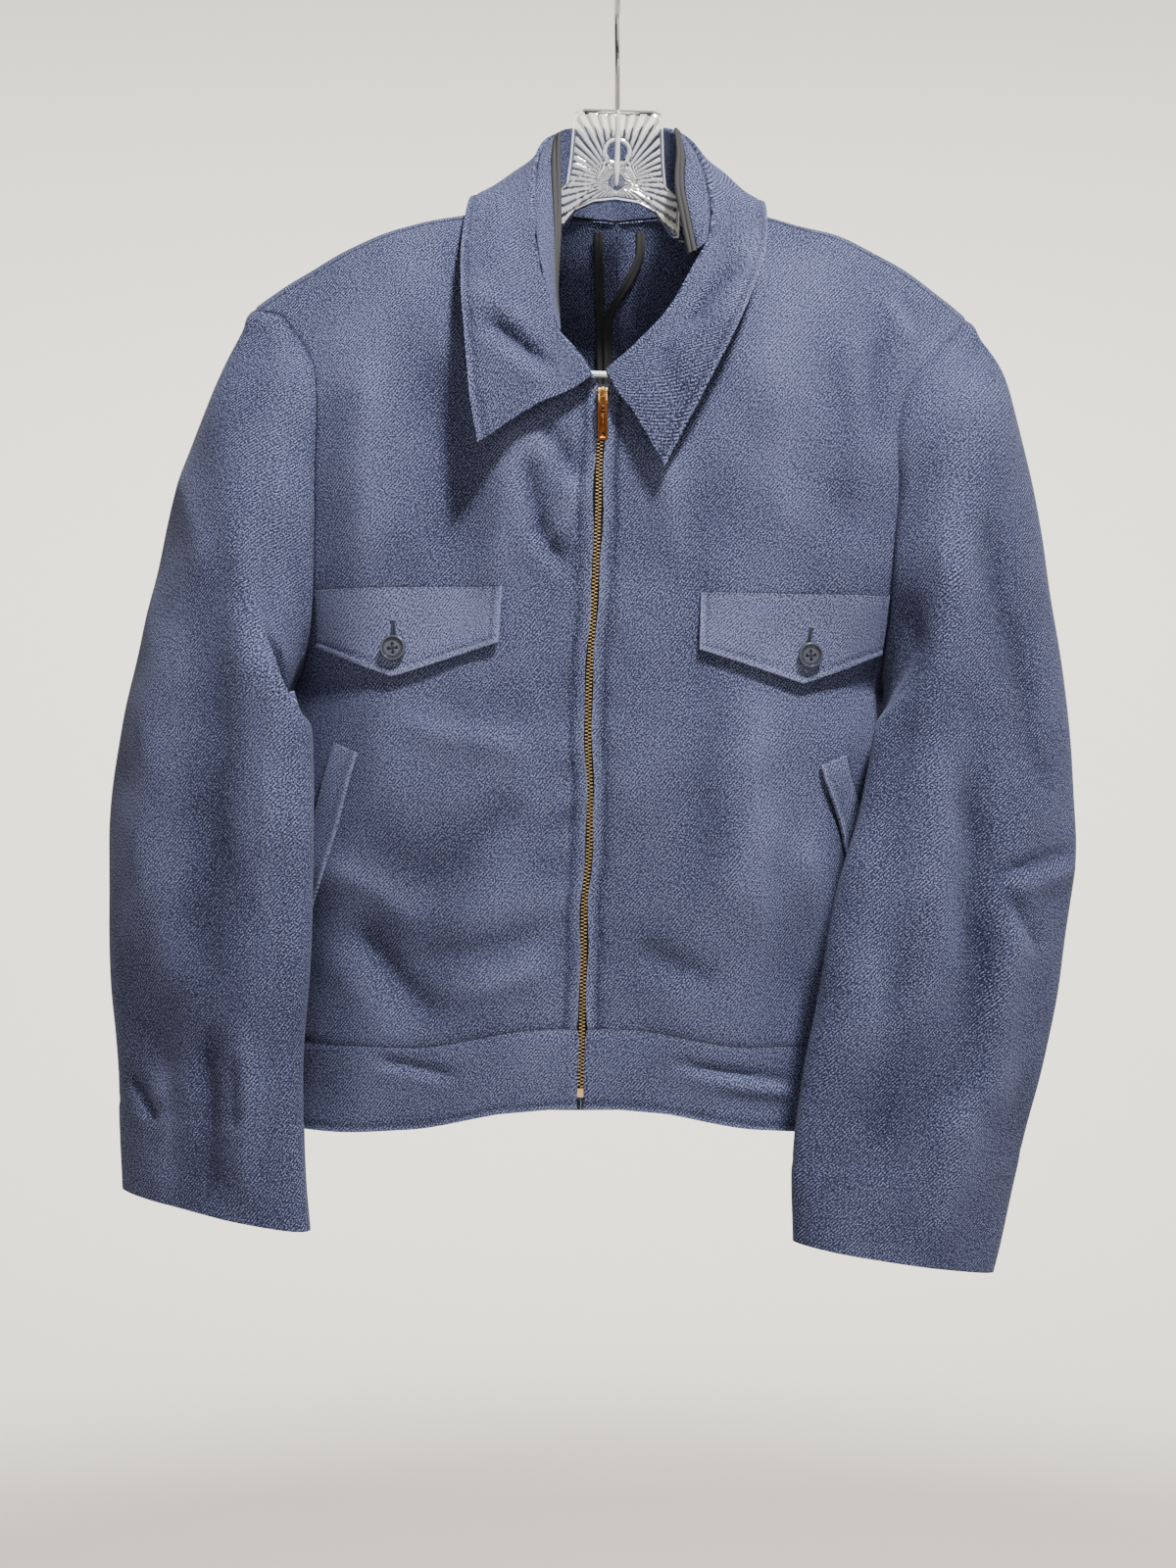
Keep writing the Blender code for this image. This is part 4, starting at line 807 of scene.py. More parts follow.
def build_shell():
    """Panels, sleeves, collar and band: base grids first, then creases; each keeps its thickness for the
    shells made later.
    """
    pieces = {}
    for side in ("right", "left"):
        sign = 1 if side == "right" else -1
        front, back = body_grid(side, "front"), body_grid(side, "back")
        reach = (NECK_STEPS + ARM_STEPS) * FINE
        sleeve = sleeve_grid(side, np.concatenate([front[:reach, -1], back[reach:0:-1, -1]]))
        band = band_grid(side, front, back)
        pieces["front_" + side] = ["panel", "body", front, sign, CLOTH]
        pieces["back_" + side] = ["panel", "body", back, -sign, CLOTH]
        pieces["waistband_" + side] = ["band", "band", band, sign, DOUBLE_CLOTH]
        top = ring_part(sleeve, HIND_SEAM, FORE_SEAM + ROUND_STEPS)
        under = ring_part(sleeve, FORE_SEAM, HIND_SEAM)
        pieces["sleeve_top_" + side] = ["sleeve", "sleeve_" + side, top, -sign, CLOTH]
        pieces["sleeve_under_" + side] = ["sleeve", "sleeve_" + side, under, -sign, CLOTH]
    rise = NECK_STEPS * FINE
    front_r, back_r = pieces["front_right"][2], pieces["back_right"][2]
    front_l, back_l = pieces["front_left"][2], pieces["back_left"][2]
    neck = np.concatenate([front_r[rise:0:-1, 0], back_r[:rise, 0],
                           back_l[rise:0:-1, 0], front_l[:rise + 1, 0]])
    pieces["collar"] = ["collar", "collar", collar_grid(neck), 1, DOUBLE_CLOTH]
    names = ("family", "kind", "grid", "sign", "thick")
    pieces = {name: dict(zip(names, values)) for name, values in pieces.items()}
    for piece in pieces.values():
        piece["keys"] = [tuple(p) for p in np.round(piece["grid"].reshape(-1, 3), 1).tolist()]
        piece["normals"] = grid_normals(piece["grid"], piece["sign"])
    share_seams(pieces, 1.0)
    for name, piece in pieces.items():
        grid, normals = piece["grid"], piece["normals"]
        height = relief(piece["kind"], grid, normals) + seam_relief(piece)
        if name.startswith("front"):
            across = lengths_over(grid)[0]
            deepest = OVER_TAPE + 8 * np.clip((across - TAPE_REACH) / 8, 0, 1)
            height = np.maximum(height, -deepest)
        piece["height"] = height
        piece["formed"] = grid + normals * height[..., None]
    for piece in pieces.values():
        piece["normals"] = grid_normals(piece["formed"], piece["sign"])
    share_seams(pieces, 1.6)
    return pieces


def seam_relief(piece):
    """The roll of a sleeve's head, turned hems, puckers by the zip, and the dip at each seam."""
    grid = piece["grid"]
    across, down = lengths_over(grid)
    total = np.zeros(across.shape)
    if piece["family"] == "sleeve":
        total += 1.7 * np.exp(-(((down - 9) / 7) ** 2))
        hem = down.max() - 64
        total += 0.45 * np.clip((down - hem) / 1.6, 0, 1) - 0.5 * np.exp(-(((down - hem) / 2.6) ** 2))
        total[0] -= 1.3
    if piece["family"] == "panel":
        total[:, -1] -= 1.2
        total[-1] -= 1.0
        total[0] -= 1.1
        if grid[-1, 0, 1] < 0:
            below = np.clip((-296 - grid[..., 2]) / 12, 0, 1)
            near = np.exp(-(((across - 12) / 8) ** 2)) * below
            side = piece["sign"]
            wave = np.sin(grid[..., 2] / 6.3 + 1.6 * np.sin(grid[..., 2] / 29 + side) + across / 9)
            total += (1.0 + 0.35 * side) * near * wave * (0.6 + 0.4 * np.sin(grid[..., 2] / 47 + side))
            total -= 1.3 * np.exp(-(((across - 8) / 2.2) ** 2)) * below
            total += 1.1 * np.exp(-((across / 3.2) ** 2)) * below
        else:
            total[:, 0] -= 0.9
    if piece["family"] == "band":
        total -= 0.45 * np.exp(-(((down - 4) / 2.0) ** 2))
        total -= 0.45 * np.exp(-(((down.max() - 4 - down) / 2.0) ** 2))
        total[0] -= 1.0
    if piece["family"] == "collar":
        total -= 0.6 * np.exp(-(((down.max() - 5 - down) / 2.0) ** 2))
        x, z = grid[..., 0], grid[..., 2]
        leaf = np.clip((down / down.max() - 0.5) / 0.1, 0, 1)
        folds = ((-86, -246, -36, -284, 7, -7.5), (-98, -226, -62, -256, 12, 2.6),
                 (76, -206, 44, -252, 8, -4.6), (94, -196, 66, -262, 12, 2.6),
                 (28, -266, 44, -306, 8, -2.2))
        total += short_creases(x, z, folds) * leaf * (grid[..., 1] < -20)
    return total


def flattened(grid, places, grain):
    """Relaxes rough places on the flat cloth until a coarse grid's edges and diagonals keep their lengths."""
    coarse = grid[::FINE, ::FINE]
    rows, columns = coarse.shape[:2]
    index = np.arange(rows * columns).reshape(rows, columns)
    starts = (index[:, :-1], index[:-1], index[:-1, :-1], index[:-1, 1:])
    ends = (index[:, 1:], index[1:], index[1:, 1:], index[1:, :-1])
    a = np.concatenate([part.ravel() for part in starts])
    b = np.concatenate([part.ravel() for part in ends])
    corners, flat = coarse.reshape(-1, 3), 1.6 * places[::FINE, ::FINE].reshape(-1, 2)
    length = np.linalg.norm(corners[b] - corners[a], axis=1)
    links = (np.bincount(a, minlength=len(flat)) + np.bincount(b, minlength=len(flat)))[:, None]
    for _ in range(2500):
        span = flat[b] - flat[a]
        pull = span * (0.5 - 0.5 * length / np.linalg.norm(span, axis=1))[:, None]
        move = np.zeros_like(flat)
        np.add.at(move, a, pull)
        np.add.at(move, b, -pull)
        flat = flat + 1.4 * move / links
    flat = flat.reshape(rows, columns, 2)
    line = flat[-1, grain // FINE] - flat[rows // 3, grain // FINE]
    turn = np.array([[line[1], line[0]], [-line[0], line[1]]]) / np.linalg.norm(line)
    flat = flat @ turn
    flat = smooth(np.arange(rows), flat.reshape(rows, -1), np.arange(grid.shape[0]) / FINE)
    flat = flat.reshape(-1, columns, 2).transpose(1, 0, 2).reshape(columns, -1)
    flat = smooth(np.arange(columns), flat, np.arange(grid.shape[1]) / FINE)
    return flat.reshape(grid.shape[1], -1, 2).transpose(1, 0, 2)


def cloth_places(name, piece):
    """Where each point lies on its flat cloth, in millimetres, with u to the viewer's right outside."""
    grid = piece["grid"]
    across, down = lengths_over(grid)
    if name == "collar":
        steps = np.linalg.norm(np.diff(grid, axis=0), axis=2)
        down = np.concatenate([np.zeros((1, grid.shape[1])), np.cumsum(steps, axis=0)])
        return np.stack([np.broadcast_to(across.mean(axis=0), across.shape), down], axis=-1)
    grain = {"panel": 0, "band": 0, "sleeve": 5 * FINE}[piece["family"]]
    places = np.stack([-piece["sign"] * (across - across[:, grain:grain + 1]), down], axis=-1)
    return places if piece["family"] == "band" else flattened(grid, places, grain)


def shade_and_wear_of(piece):
    """Tone per point, partly real fading and mostly painted light: painted highlight on ridges, lips and
    turned edges, painted shade in dips, stitch grooves and over the whole sleeves.
    """
    # Painted highlight on ridges and painted shade in creases and dips, from the relief's height, with some
    # real fading on the ridges
    shade_and_wear = np.clip(piece["height"] / 9, -0.55, 0.4)
    # Painted shade: the sleeves are darker all over
    if piece["family"] == "sleeve":
        shade_and_wear = shade_and_wear - 0.35
    across, down = lengths_over(piece["grid"])
    if piece["family"] == "panel" and piece["grid"][-1, 0, 1] < 0:
        # Painted highlight on the placket lip and painted shade in the stitch groove beside it
        shade_and_wear = shade_and_wear + 0.5 * np.exp(-((across / 3.5) ** 2)) - 0.7 * np.exp(-(((across - 8.5) / 1.8) ** 2))
    if piece["family"] in ("collar", "band"):
        edge = down.max() - down
        # Painted highlight along the turned edge and painted shade in the topstitch groove 5 mm in
        shade_and_wear = shade_and_wear + 0.6 * np.exp(-((edge / 1.6) ** 2)) - 0.4 * np.exp(-(((edge - 5) / 1.6) ** 2))
    return shade_and_wear


def make_cloth(pieces):
    outer_faces = {}
    for name, piece in pieces.items():
        normals = piece["normals"]
        grid = trimmed(piece["formed"], normals, SEAM_GAP / 2)
        outer = grid + normals * piece["thick"] / 2
        inner = grid - normals * piece["thick"] / 2
        places = cloth_places(name, piece)
        made = add_shell("cloth_" + name, outer, inner, piece["sign"], TWILL, places, shade_and_wear=shade_and_wear_of(piece))
        declare_cloth(made, name)
        outer_faces[name] = (outer, normals / np.linalg.norm(normals, axis=2, keepdims=True))
    return outer_faces


def tree_of(outer):
    rows, columns = outer.shape[:2]
    index = np.arange(rows * columns).reshape(rows, columns)
    quads = np.stack([index[:-1, :-1], index[:-1, 1:], index[1:, 1:], index[1:, :-1]], axis=-1)
    return BVHTree.FromPolygons(outer.reshape(-1, 3).tolist(), quads.reshape(-1, 4).tolist())


def snapped(tree, places):
    """Points of the cloth straight behind the given places, seen from the front."""
    flat = np.asarray(places, float).reshape(-1, 3)
    out = flat.copy()
    for i, place in enumerate(flat.tolist()):
        hit = tree.ray_cast(Vector((place[0], -400, place[2])), Vector((0, 1, 0)))[0]
        if hit is not None:
            out[i] = hit
    return out.reshape(np.asarray(places).shape)


class Panel:
    """A front panel of the solids, read by level distance along it and height."""

    def __init__(self, side):
        self.rows = body_grid(side, "front", 1)
        steps = np.linalg.norm(np.diff(self.rows[..., :2], axis=1), axis=2)
        self.reach = np.concatenate([np.zeros((len(self.rows), 1)), np.cumsum(steps, axis=1)], axis=1)

    def at(self, reach, z):
        line = np.array([
            [np.interp(reach, run, row[:, k]) for k in range(3)]
            for run, row in zip(self.reach, self.rows)
        ])[::-1]
        return np.array([np.interp(z, line[:, 2], line[:, k]) for k in range(3)])

    def laid(self, reaches, heights):
        reaches, heights = np.broadcast_arrays(reaches, heights)
        points = np.empty((*reaches.shape, 3))
        for i in np.ndindex(reaches.shape):
            points[i] = self.at(reaches[i], heights[i])
        return points


def laid_piece(name, node, grid, sign, lift, crown):
    """Doubled cloth on a panel: the grid lies on the panel's outer face and is lifted off it."""
    normals = grid_normals(grid, sign)
    middle = grid + normals * (lift + DOUBLE_CLOTH / 2 + crown)[..., None]
    normals = grid_normals(middle, sign)
    across, down = lengths_over(middle)
    rim = np.minimum.reduce([across, across.max(axis=1, keepdims=True) - across, down, down.max() - down])
    half = DOUBLE_CLOTH / 2 * (0.62 + 0.38 * np.clip(rim / 1.4, 0, 1))
    sewn = np.minimum(across, down.max() - down)
    half = half - 0.6 * np.exp(-(((sewn - 4.8) / 1.6) ** 2))
    outer, inner = middle + normals * half[..., None], middle - normals * DOUBLE_CLOTH / 2
    places = np.stack([-sign * across, down], axis=-1)
    # Painted light on flaps and welts: lighter all over as if lit from above, a painted highlight on the sewn
    # lip, and painted shade in the stitch groove
    shade_and_wear = 0.9 * np.exp(-((sewn / 1.8) ** 2)) - 0.4 * np.exp(-(((sewn - 4.8) / 1.3) ** 2)) + 0.6
    made = add_shell(name, outer, inner, sign, TWILL, places, 60, shade_and_wear)
    declare_cloth(made, node)
    return outer, normals


def make_pockets(outer_faces):
    for side, flap_start, aside, flap_top, welt_start, welt_top in POCKETS:
        sign = 1 if side == "right" else -1
        panel = Panel(side)
        tree = tree_of(outer_faces["front_" + side][0])
        a = np.interp(np.linspace(0, 1, 57), (0, 0.5, 1), (0, FLAP_POINT, 1))[None, :]
        b = np.linspace(0, 1, 31)[:, None]
        point = np.interp(a, (0, FLAP_POINT, 1), (0, 1, 0))
        height = flap_top - b * (FLAP_SIDE + (FLAP_TIP - FLAP_SIDE) * point)
        base = snapped(tree, panel.laid(flap_start + FLAP_WIDTH * a, height))
        crown = 0.6 * np.sin(a * 9 + b * 3) * b + 2.6 * b**2
        lift = np.full(crown.shape, 0.35)
        flap, normals = laid_piece("cloth_flap_" + side, "flap_" + side, base, sign, lift, crown)
        runs = [inset_row(flap, normals, 0, 1.6), inset_row(flap, normals, -1, 4.4),
                inset_column(flap, normals, 0, 4.4), inset_column(flap, normals, -1, 4.4)]
        add_stitches("stitches_flap_" + side, runs)
        # Painted shade: a dark line along the flap's top seam
        add_stitches("shade_line_flap_top_" + side, [inset_row(flap, normals, 0, 0.1)], DARK_THREAD_AND_SHADE, **SEAM_SHADE_LINE)
        place = panel.at(flap_start + FLAP_WIDTH * FLAP_POINT + aside, flap_top - 40)
        make_button(side, tree_of(flap), place)
        a = np.linspace(0, 1, 11)[None, :]
        b = np.linspace(0, 1, 61)[:, None]
        reach = (welt_start + b * WELT_LENGTH * math.sin(WELT_SLANT)
                 + a * WELT_WIDTH * math.cos(WELT_SLANT))
        height = (welt_top - b * WELT_LENGTH * math.cos(WELT_SLANT)
                  + a * WELT_WIDTH * math.sin(WELT_SLANT))
        base = snapped(tree, panel.laid(reach, height))
        crown = 0.3 * np.sin(b * 11) + 1.1 * (1 - a) ** 2
        welt, normals = laid_piece("cloth_welt_" + side, "welt_" + side, base, sign,
                                   np.full(crown.shape, 0.5), crown)
        runs = [inset_column(welt, normals, 0, 2.0), inset_row(welt, normals, 0, 2.0)]
        add_stitches("stitches_welt_" + side, runs)
        # Painted shade: dark lines along the welt's sewn edges
        runs = [inset_column(welt, normals, -1, 0.1), inset_row(welt, normals, -1, 0.1)]
        add_stitches("shade_line_welt_seam_" + side, runs, DARK_THREAD_AND_SHADE, **SEAM_SHADE_LINE)


def lathe(profile, sides):
    """Points and faces of a turned shape about Z: the profile starts and ends on the axis."""
    ring = profile[1:-1]
    turns = np.linspace(0, 2 * math.pi, sides, endpoint=False)
    points = [(0, 0, profile[0][1]), (0, 0, profile[-1][1])]
    for radius, height in ring:
        points += [(radius * math.cos(t), radius * math.sin(t), height) for t in turns]
    faces = []
    last = 2 + (len(ring) - 1) * sides
    for i in range(sides):
        j = (i + 1) % sides
        faces.append((0, 2 + j, 2 + i))
        faces.append((1, last + i, last + j))
        for k in range(len(ring) - 1):
            low, high = 2 + k * sides, 2 + (k + 1) * sides
            faces.append((low + i, low + j, high + j, high + i))
    return points, faces


def solid_object(name, points, faces, finish, angle=35.0):
    mesh = bpy.data.meshes.new(name)
    mesh.from_pydata([tuple(c * MM for c in p) for p in points], [], faces)
    shaped = bmesh.new()
    shaped.from_mesh(mesh)
    bmesh.ops.recalc_face_normals(shaped, faces=shaped.faces)
    shaped.to_mesh(mesh)
    shaped.free()
    mesh.shade_smooth()
    mesh.set_sharp_from_angle(angle=math.radians(angle))
    mesh.materials.append(finish)
    made = bpy.data.objects.new(name, mesh)
    bpy.context.scene.collection.objects.link(made)
    return made


def bake(made, matrix):
    """Puts a matrix into the mesh, so that the object stays at the origin."""
    made.data.transform(matrix)
    made.data.update()


def make_button(side, flap_tree, place):
    """A four-hole button with a raised rim, painted highlight on its rim and centre, its crossed thread, and
    the buttonhole above it.
    """
    hit, normal, _, _ = flap_tree.ray_cast(Vector((place[0], -400, place[2])), Vector((0, 1, 0)))
    normal = normal if normal.y < 0 else -normal
    r, h = BUTTON_RADIUS, BUTTON_THICK
    profile = ((0, 0), (r * 0.8, 0), (r * 0.95, h * 0.3), (r, h * 0.6), (r * 0.97, h * 0.85),
               (r * 0.9, h), (r * 0.82, h * 0.97), (r * 0.76, h * 0.74), (r * 0.6, h * 0.6),
               (r * 0.42, h * 0.66), (0, h * 0.66))
    turn = Vector((0, 0, 1)).rotation_difference(normal).to_matrix().to_4x4()
    spin = Matrix.Rotation(math.radians(45 if side == "right" else -30), 4, "Z")
    place = Matrix.Translation((hit + normal * 0.9) * MM) @ turn @ spin
    button = solid_object("button_face_" + side, *lathe(profile, 48), BUTTON, 30)
    button.data.materials.append(BUTTON_HIGHLIGHT)
    # Painted highlight: faces on the rim's top and the centre disc take the lighter copy
    for face in button.data.polygons:
        out, up = face.center.xy.length / (r * MM), face.center.z / (h * MM)
        if (out > 0.81 and up > 0.8) or (out < 0.62 and up > 0.4):
            face.material_index = 1
    bake(button, place)
    for x, y in ((-1, -1), (-1, 1), (1, -1), (1, 1)):
        bpy.ops.mesh.primitive_cylinder_add(vertices=20, radius=1.05 * MM, depth=4 * h * MM)
        cutter = bpy.context.object
        bake(cutter, place @ Matrix.Translation((1.85 * x * MM, 1.85 * y * MM, 0)))
        cut = button.modifiers.new("hole", "BOOLEAN")
        cut.operation = "DIFFERENCE"
        cut.object = cutter
        bpy.context.view_layer.objects.active = button
        bpy.ops.object.modifier_apply(modifier="hole")
        bpy.data.objects.remove(cutter)
    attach(button, "jacket")
    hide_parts("button_" + side)
    parts = []
    for angle in (45, -45):
        lay = Matrix.Translation((0, 0, h * 0.72 * MM)) @ Matrix.Rotation(math.radians(angle), 4, "Z")
        parts.append((6.0, 0.95, 0.6, place @ lay))
    cross = capsules("button_thread_" + side, parts, DARK_THREAD_AND_SHADE)
    above = Vector((hit.x, -400, hit.z + r + 4.2))
    middle, normal, _, _ = flap_tree.ray_cast(above, Vector((0, 1, 0)))
    normal = normal if normal.y < 0 else -normal
    turn = Vector((0, 0, 1)).rotation_difference(normal).to_matrix().to_4x4()
    back = Matrix.Translation(middle * MM) @ turn
    upright = Matrix.Rotation(math.pi / 2, 4, "Z")
    sides = [(9.6, 1.0, 0.9, back @ Matrix.Translation((x * MM, 0, 0.15 * MM)) @ upright)
             for x in (-0.95, 0.95)]
    sides.append((4.2, 1.1, 1.0, back @ Matrix.Translation((0, 5.0 * MM, 0.15 * MM))))
    hole = capsules("buttonhole_" + side, sides, THREAD)
    # Painted shade: a dark bar fills the buttonhole's slit
    slit_shade = capsules("buttonhole_slit_shade_" + side, [(9.0, 1.0, 0.9, back @ upright)], DARK_THREAD_AND_SHADE)


def capsules(name, parts, finish):
    """Rounded bars along X: length, width and height in millimetres, and where each one lies."""
    points, faces = [], []
    for length, width, height, matrix in parts:
        start = len(points)
        rings = ((-0.5, 0.35), (-0.44, 0.85), (-0.3, 1.0), (0.3, 1.0), (0.44, 0.85), (0.5, 0.35))
        for x, size in rings:
            for t in np.linspace(0, 2 * math.pi, 8, endpoint=False):
                spot = Vector((x * length, size * width / 2 * math.cos(t), size * height / 2 * math.sin(t)))
                points.append(tuple((matrix @ (spot * MM)) / MM))
        for k in range(len(rings) - 1):
            for i in range(8):
                j = (i + 1) % 8
                a, b = start + k * 8, start + (k + 1) * 8
                faces.append((a + i, a + j, b + j, b + i))
        faces.append(tuple(start + i for i in range(8)))
        faces.append(tuple(start + 40 + i for i in range(8)))
    made = solid_object(name, points, faces, finish, 60)
    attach(made, "jacket")
    return made


def make_topstitching(outer_faces):
    """Rows of stitches beside the seams and edges, and lines of painted shade along the seams."""
    collar, facing = outer_faces["collar"]
    runs = [inset_row(collar, facing, -1, 5.0)]
    lower = len(collar) // 2
    for edge in (0, -1):
        runs.append(inset_column(collar[lower:], facing[lower:], edge, 5.0))
    add_stitches("stitches_collar", runs)
    neck = collar[0] - facing[0] * DOUBLE_CLOTH / 2
    downward = collar[0] - collar[1]
    downward /= np.linalg.norm(downward, axis=1, keepdims=True)
    neck = neck + downward * COLLAR_RISE / 2
    # Painted shade: a thick dark line along the collar's neck seam
    add_stitches("shade_line_neck_seam", [(neck, facing[0])], DARK_THREAD_AND_SHADE, pitch=1.5, length=3.0, radius=1.0)
    for side in ("right", "left"):
        band, facing = outer_faces["waistband_" + side]
        runs = [inset_row(band, facing, 0, 4.0), inset_row(band, facing, -1, 4.0),
                inset_column(band, facing, 0, 8.0)]
        add_stitches("stitches_band_" + side, runs)
        arm = (NECK_STEPS + ARM_STEPS) * FINE + 1
        # Painted shade: dark lines along the band's top seam, the armholes and the shoulder
        sewn = [inset_row(band, facing, 0, 0.0)]
        for face in ("front_", "back_"):
            panel, facing = outer_faces[face + side]
            sewn.append(inset_column(panel[:arm], facing[:arm], -1, 0.0))
        sewn.append(inset_row(panel, facing, 0, 0.0))
        add_stitches("shade_line_seams_" + side, sewn, DARK_THREAD_AND_SHADE, **SEAM_SHADE_LINE)
        front, facing = outer_faces["front_" + side]
        below = NECK_STEPS * FINE + 2
        add_stitches("stitches_placket_" + side, [inset_column(front[below:], facing[below:], 0, 8.0)])
        for part in ("top", "under"):
            sleeve, facing = outer_faces[f"sleeve_{part}_{side}"]
            add_stitches(f"stitches_cuff_{part}_{side}", [inset_row(sleeve, facing, -1, 64.0)], DARK_THREAD_AND_SHADE)


# Zip


def add_bricks(name, centres, sizes, finish):
    """Blocks with sloped faces, such as zip teeth: centres and sizes in millimetres."""
    corners = np.array([(-1, -1, -1), (1, -1, -1), (1, -1, 1), (-1, -1, 1),
                        (-1, 1, -1), (1, 1, -1), (1, 1, 1), (-1, 1, 1)], float) / 2
    narrow = np.where(corners[:, 1:2] < 0, 0.72, 1.0)
    corners = corners * np.concatenate([narrow, np.ones_like(narrow), narrow], axis=1)
    quads = np.array([(0, 1, 2, 3), (5, 4, 7, 6), (4, 0, 3, 7), (1, 5, 6, 2), (3, 2, 6, 7), (4, 5, 1, 0)])
    points = centres[:, None, :] + corners[None] * sizes[:, None, :]
    faces = quads[None] + 8 * np.arange(len(centres))[:, None, None]
    return mesh_object(name, points.reshape(-1, 3), faces.reshape(-1, 4), finish, angle=30)


def make_zip():
    z = np.arange(SLIDER_TOP - SLIDER_HEIGHT - 0.6, CHAIN_BOTTOM, -TOOTH_PITCH)
    aside = np.where(np.arange(len(z)) % 2 == 0, -1.0, 1.0)
    centres = zip_point(z, 0, -0.3 + 0.9 * np.clip((-700 - z) / 8, 0, 1))
    centres[:, 0] += aside
    sizes = np.tile([2.3, 2.4, 0.8], (len(z), 1))
    teeth = add_bricks("zip_teeth", centres, sizes, BRASS)
    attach(teeth, "jacket")
    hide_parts("zip_chain")
    for side in ("right", "left"):
        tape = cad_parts["zip_tape_" + side]
        tape.data.materials.clear()
        tape.data.materials.append(TAPE)
    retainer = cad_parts["zip_retainer"]
    retainer.data.materials.clear()
    retainer.data.materials.append(BRASS)
    make_slider()
    make_tab()


def rounded_box(name, size, place, finish, bevel):
    """A box with rounded edges: size, place and bevel in millimetres."""
    shaped = bmesh.new()
    bmesh.ops.create_cube(shaped, size=1.0)
    bmesh.ops.scale(shaped, vec=Vector(size) * MM, verts=shaped.verts)
    bmesh.ops.bevel(shaped, geom=shaped.edges, offset=bevel * MM, segments=4, profile=0.5, affect="EDGES")
    bmesh.ops.translate(shaped, vec=Vector(place) * MM, verts=shaped.verts)
    mesh = bpy.data.meshes.new(name)
    shaped.to_mesh(mesh)
    shaped.free()
    mesh.shade_smooth()
    mesh.set_sharp_from_angle(angle=math.radians(40))
    mesh.materials.append(finish)
    made = bpy.data.objects.new(name, mesh)
    bpy.context.scene.collection.objects.link(made)
    return made


def combine(target, other, operation):
    """Applies a Boolean and takes the helper away."""
    change = target.modifiers.new(operation, "BOOLEAN")
    change.operation = operation
    change.object = other
    bpy.context.view_layer.objects.active = target
    bpy.ops.object.modifier_apply(modifier=operation)
    bpy.data.objects.remove(other)


def rod(radius, length, place, turn, sides=24):
    """A helper cylinder in millimetres, turned about X or Y by a quarter."""
    bpy.ops.mesh.primitive_cylinder_add(vertices=sides, radius=radius * MM, depth=length * MM,
                                        location=Vector(place) * MM, rotation=turn)
    return bpy.context.object


def slider_place():
    middle = SLIDER_TOP - SLIDER_HEIGHT / 2
    x, y, z = zip_point([middle], 0, 0)[0]
    return x, y, z, (x, y - 6.7, z - 1.0)


def make_slider():
    """Brass slider: rounded body, two shoulders, a crown over the pin that the tab hangs on."""
    x, y, z, axis = slider_place()
    body = rounded_box("slider_body", (6.6, 5.0, SLIDER_HEIGHT), (x, y - 1.8, z), BRASS, 1.3)
    for aside in (-1, 1):
        lug = rounded_box("lug", (1.0, 4.4, 4.0), (x + aside * 2.5, y - 6.1, axis[2]), BRASS, 0.35)
        combine(body, lug, "UNION")
        bpy.ops.mesh.primitive_uv_sphere_add(segments=24, ring_count=14, radius=1.5 * MM,
                                             location=Vector((x + aside * 2.3, y - 4.3, z + 4.6)) * MM)
        combine(body, bpy.context.object, "UNION")
    combine(body, rod(0.55, 5.4, axis, (0, math.pi / 2, 0)), "UNION")
    bpy.ops.mesh.primitive_uv_sphere_add(segments=24, ring_count=14, radius=1.3 * MM,
                                         location=Vector((x, y - 4.5, z + 5.2)) * MM)
    combine(body, bpy.context.object, "UNION")
    body.data.materials.clear()
    body.data.materials.append(BRASS)
    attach(body, "jacket")
    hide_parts("zip_slider")


def make_tab():
    """Copper tab with a slot under its eye, two raised dots and a hole near its foot."""
    x, _, _, axis = slider_place()
    tab = rounded_box("pull_tab_blade", (TAB_WIDTH, TAB_THICK, TAB_LENGTH - 3.2),
                      (x, axis[1], axis[2] - 3.2 - (TAB_LENGTH - 3.2) / 2), COPPER, 0.4)
    eye = rod(1.5, 3.3, axis, (0, math.pi / 2, 0))
    combine(tab, eye, "UNION")
    neck = rounded_box("neck", (3.2, TAB_THICK, 4.6), (x, axis[1], axis[2] - 2.9), COPPER, 0.2)
    combine(tab, neck, "UNION")
    combine(tab, rod(0.95, 8, axis, (0, math.pi / 2, 0)), "DIFFERENCE")
    slot = rounded_box("slot", (1.3, 6, 6.4), (x, axis[1], axis[2] - 7.4), COPPER, 0.5)
    combine(tab, slot, "DIFFERENCE")
    combine(tab, rod(1.15, 6, (x, axis[1], axis[2] - TAB_LENGTH + 3.6), (math.pi / 2, 0, 0)), "DIFFERENCE")
    for down in (13.4, 16.4):
        dot = rod(0.5, TAB_THICK + 0.5, (x, axis[1], axis[2] - down), (math.pi / 2, 0, 0), 16)
        combine(tab, dot, "UNION")
    tab.data.materials.clear()
    tab.data.materials.append(COPPER)
    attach(tab, "pull_tab")
    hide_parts("zip_pull_tab")


# Neck


def edge_frame(line, aside):
    run = np.gradient(line, axis=0)
    normals = np.cross(run, aside)
    normals /= np.linalg.norm(normals, axis=1, keepdims=True)
    across = np.cross(normals, run)
    return normals, across / np.linalg.norm(across, axis=1, keepdims=True)


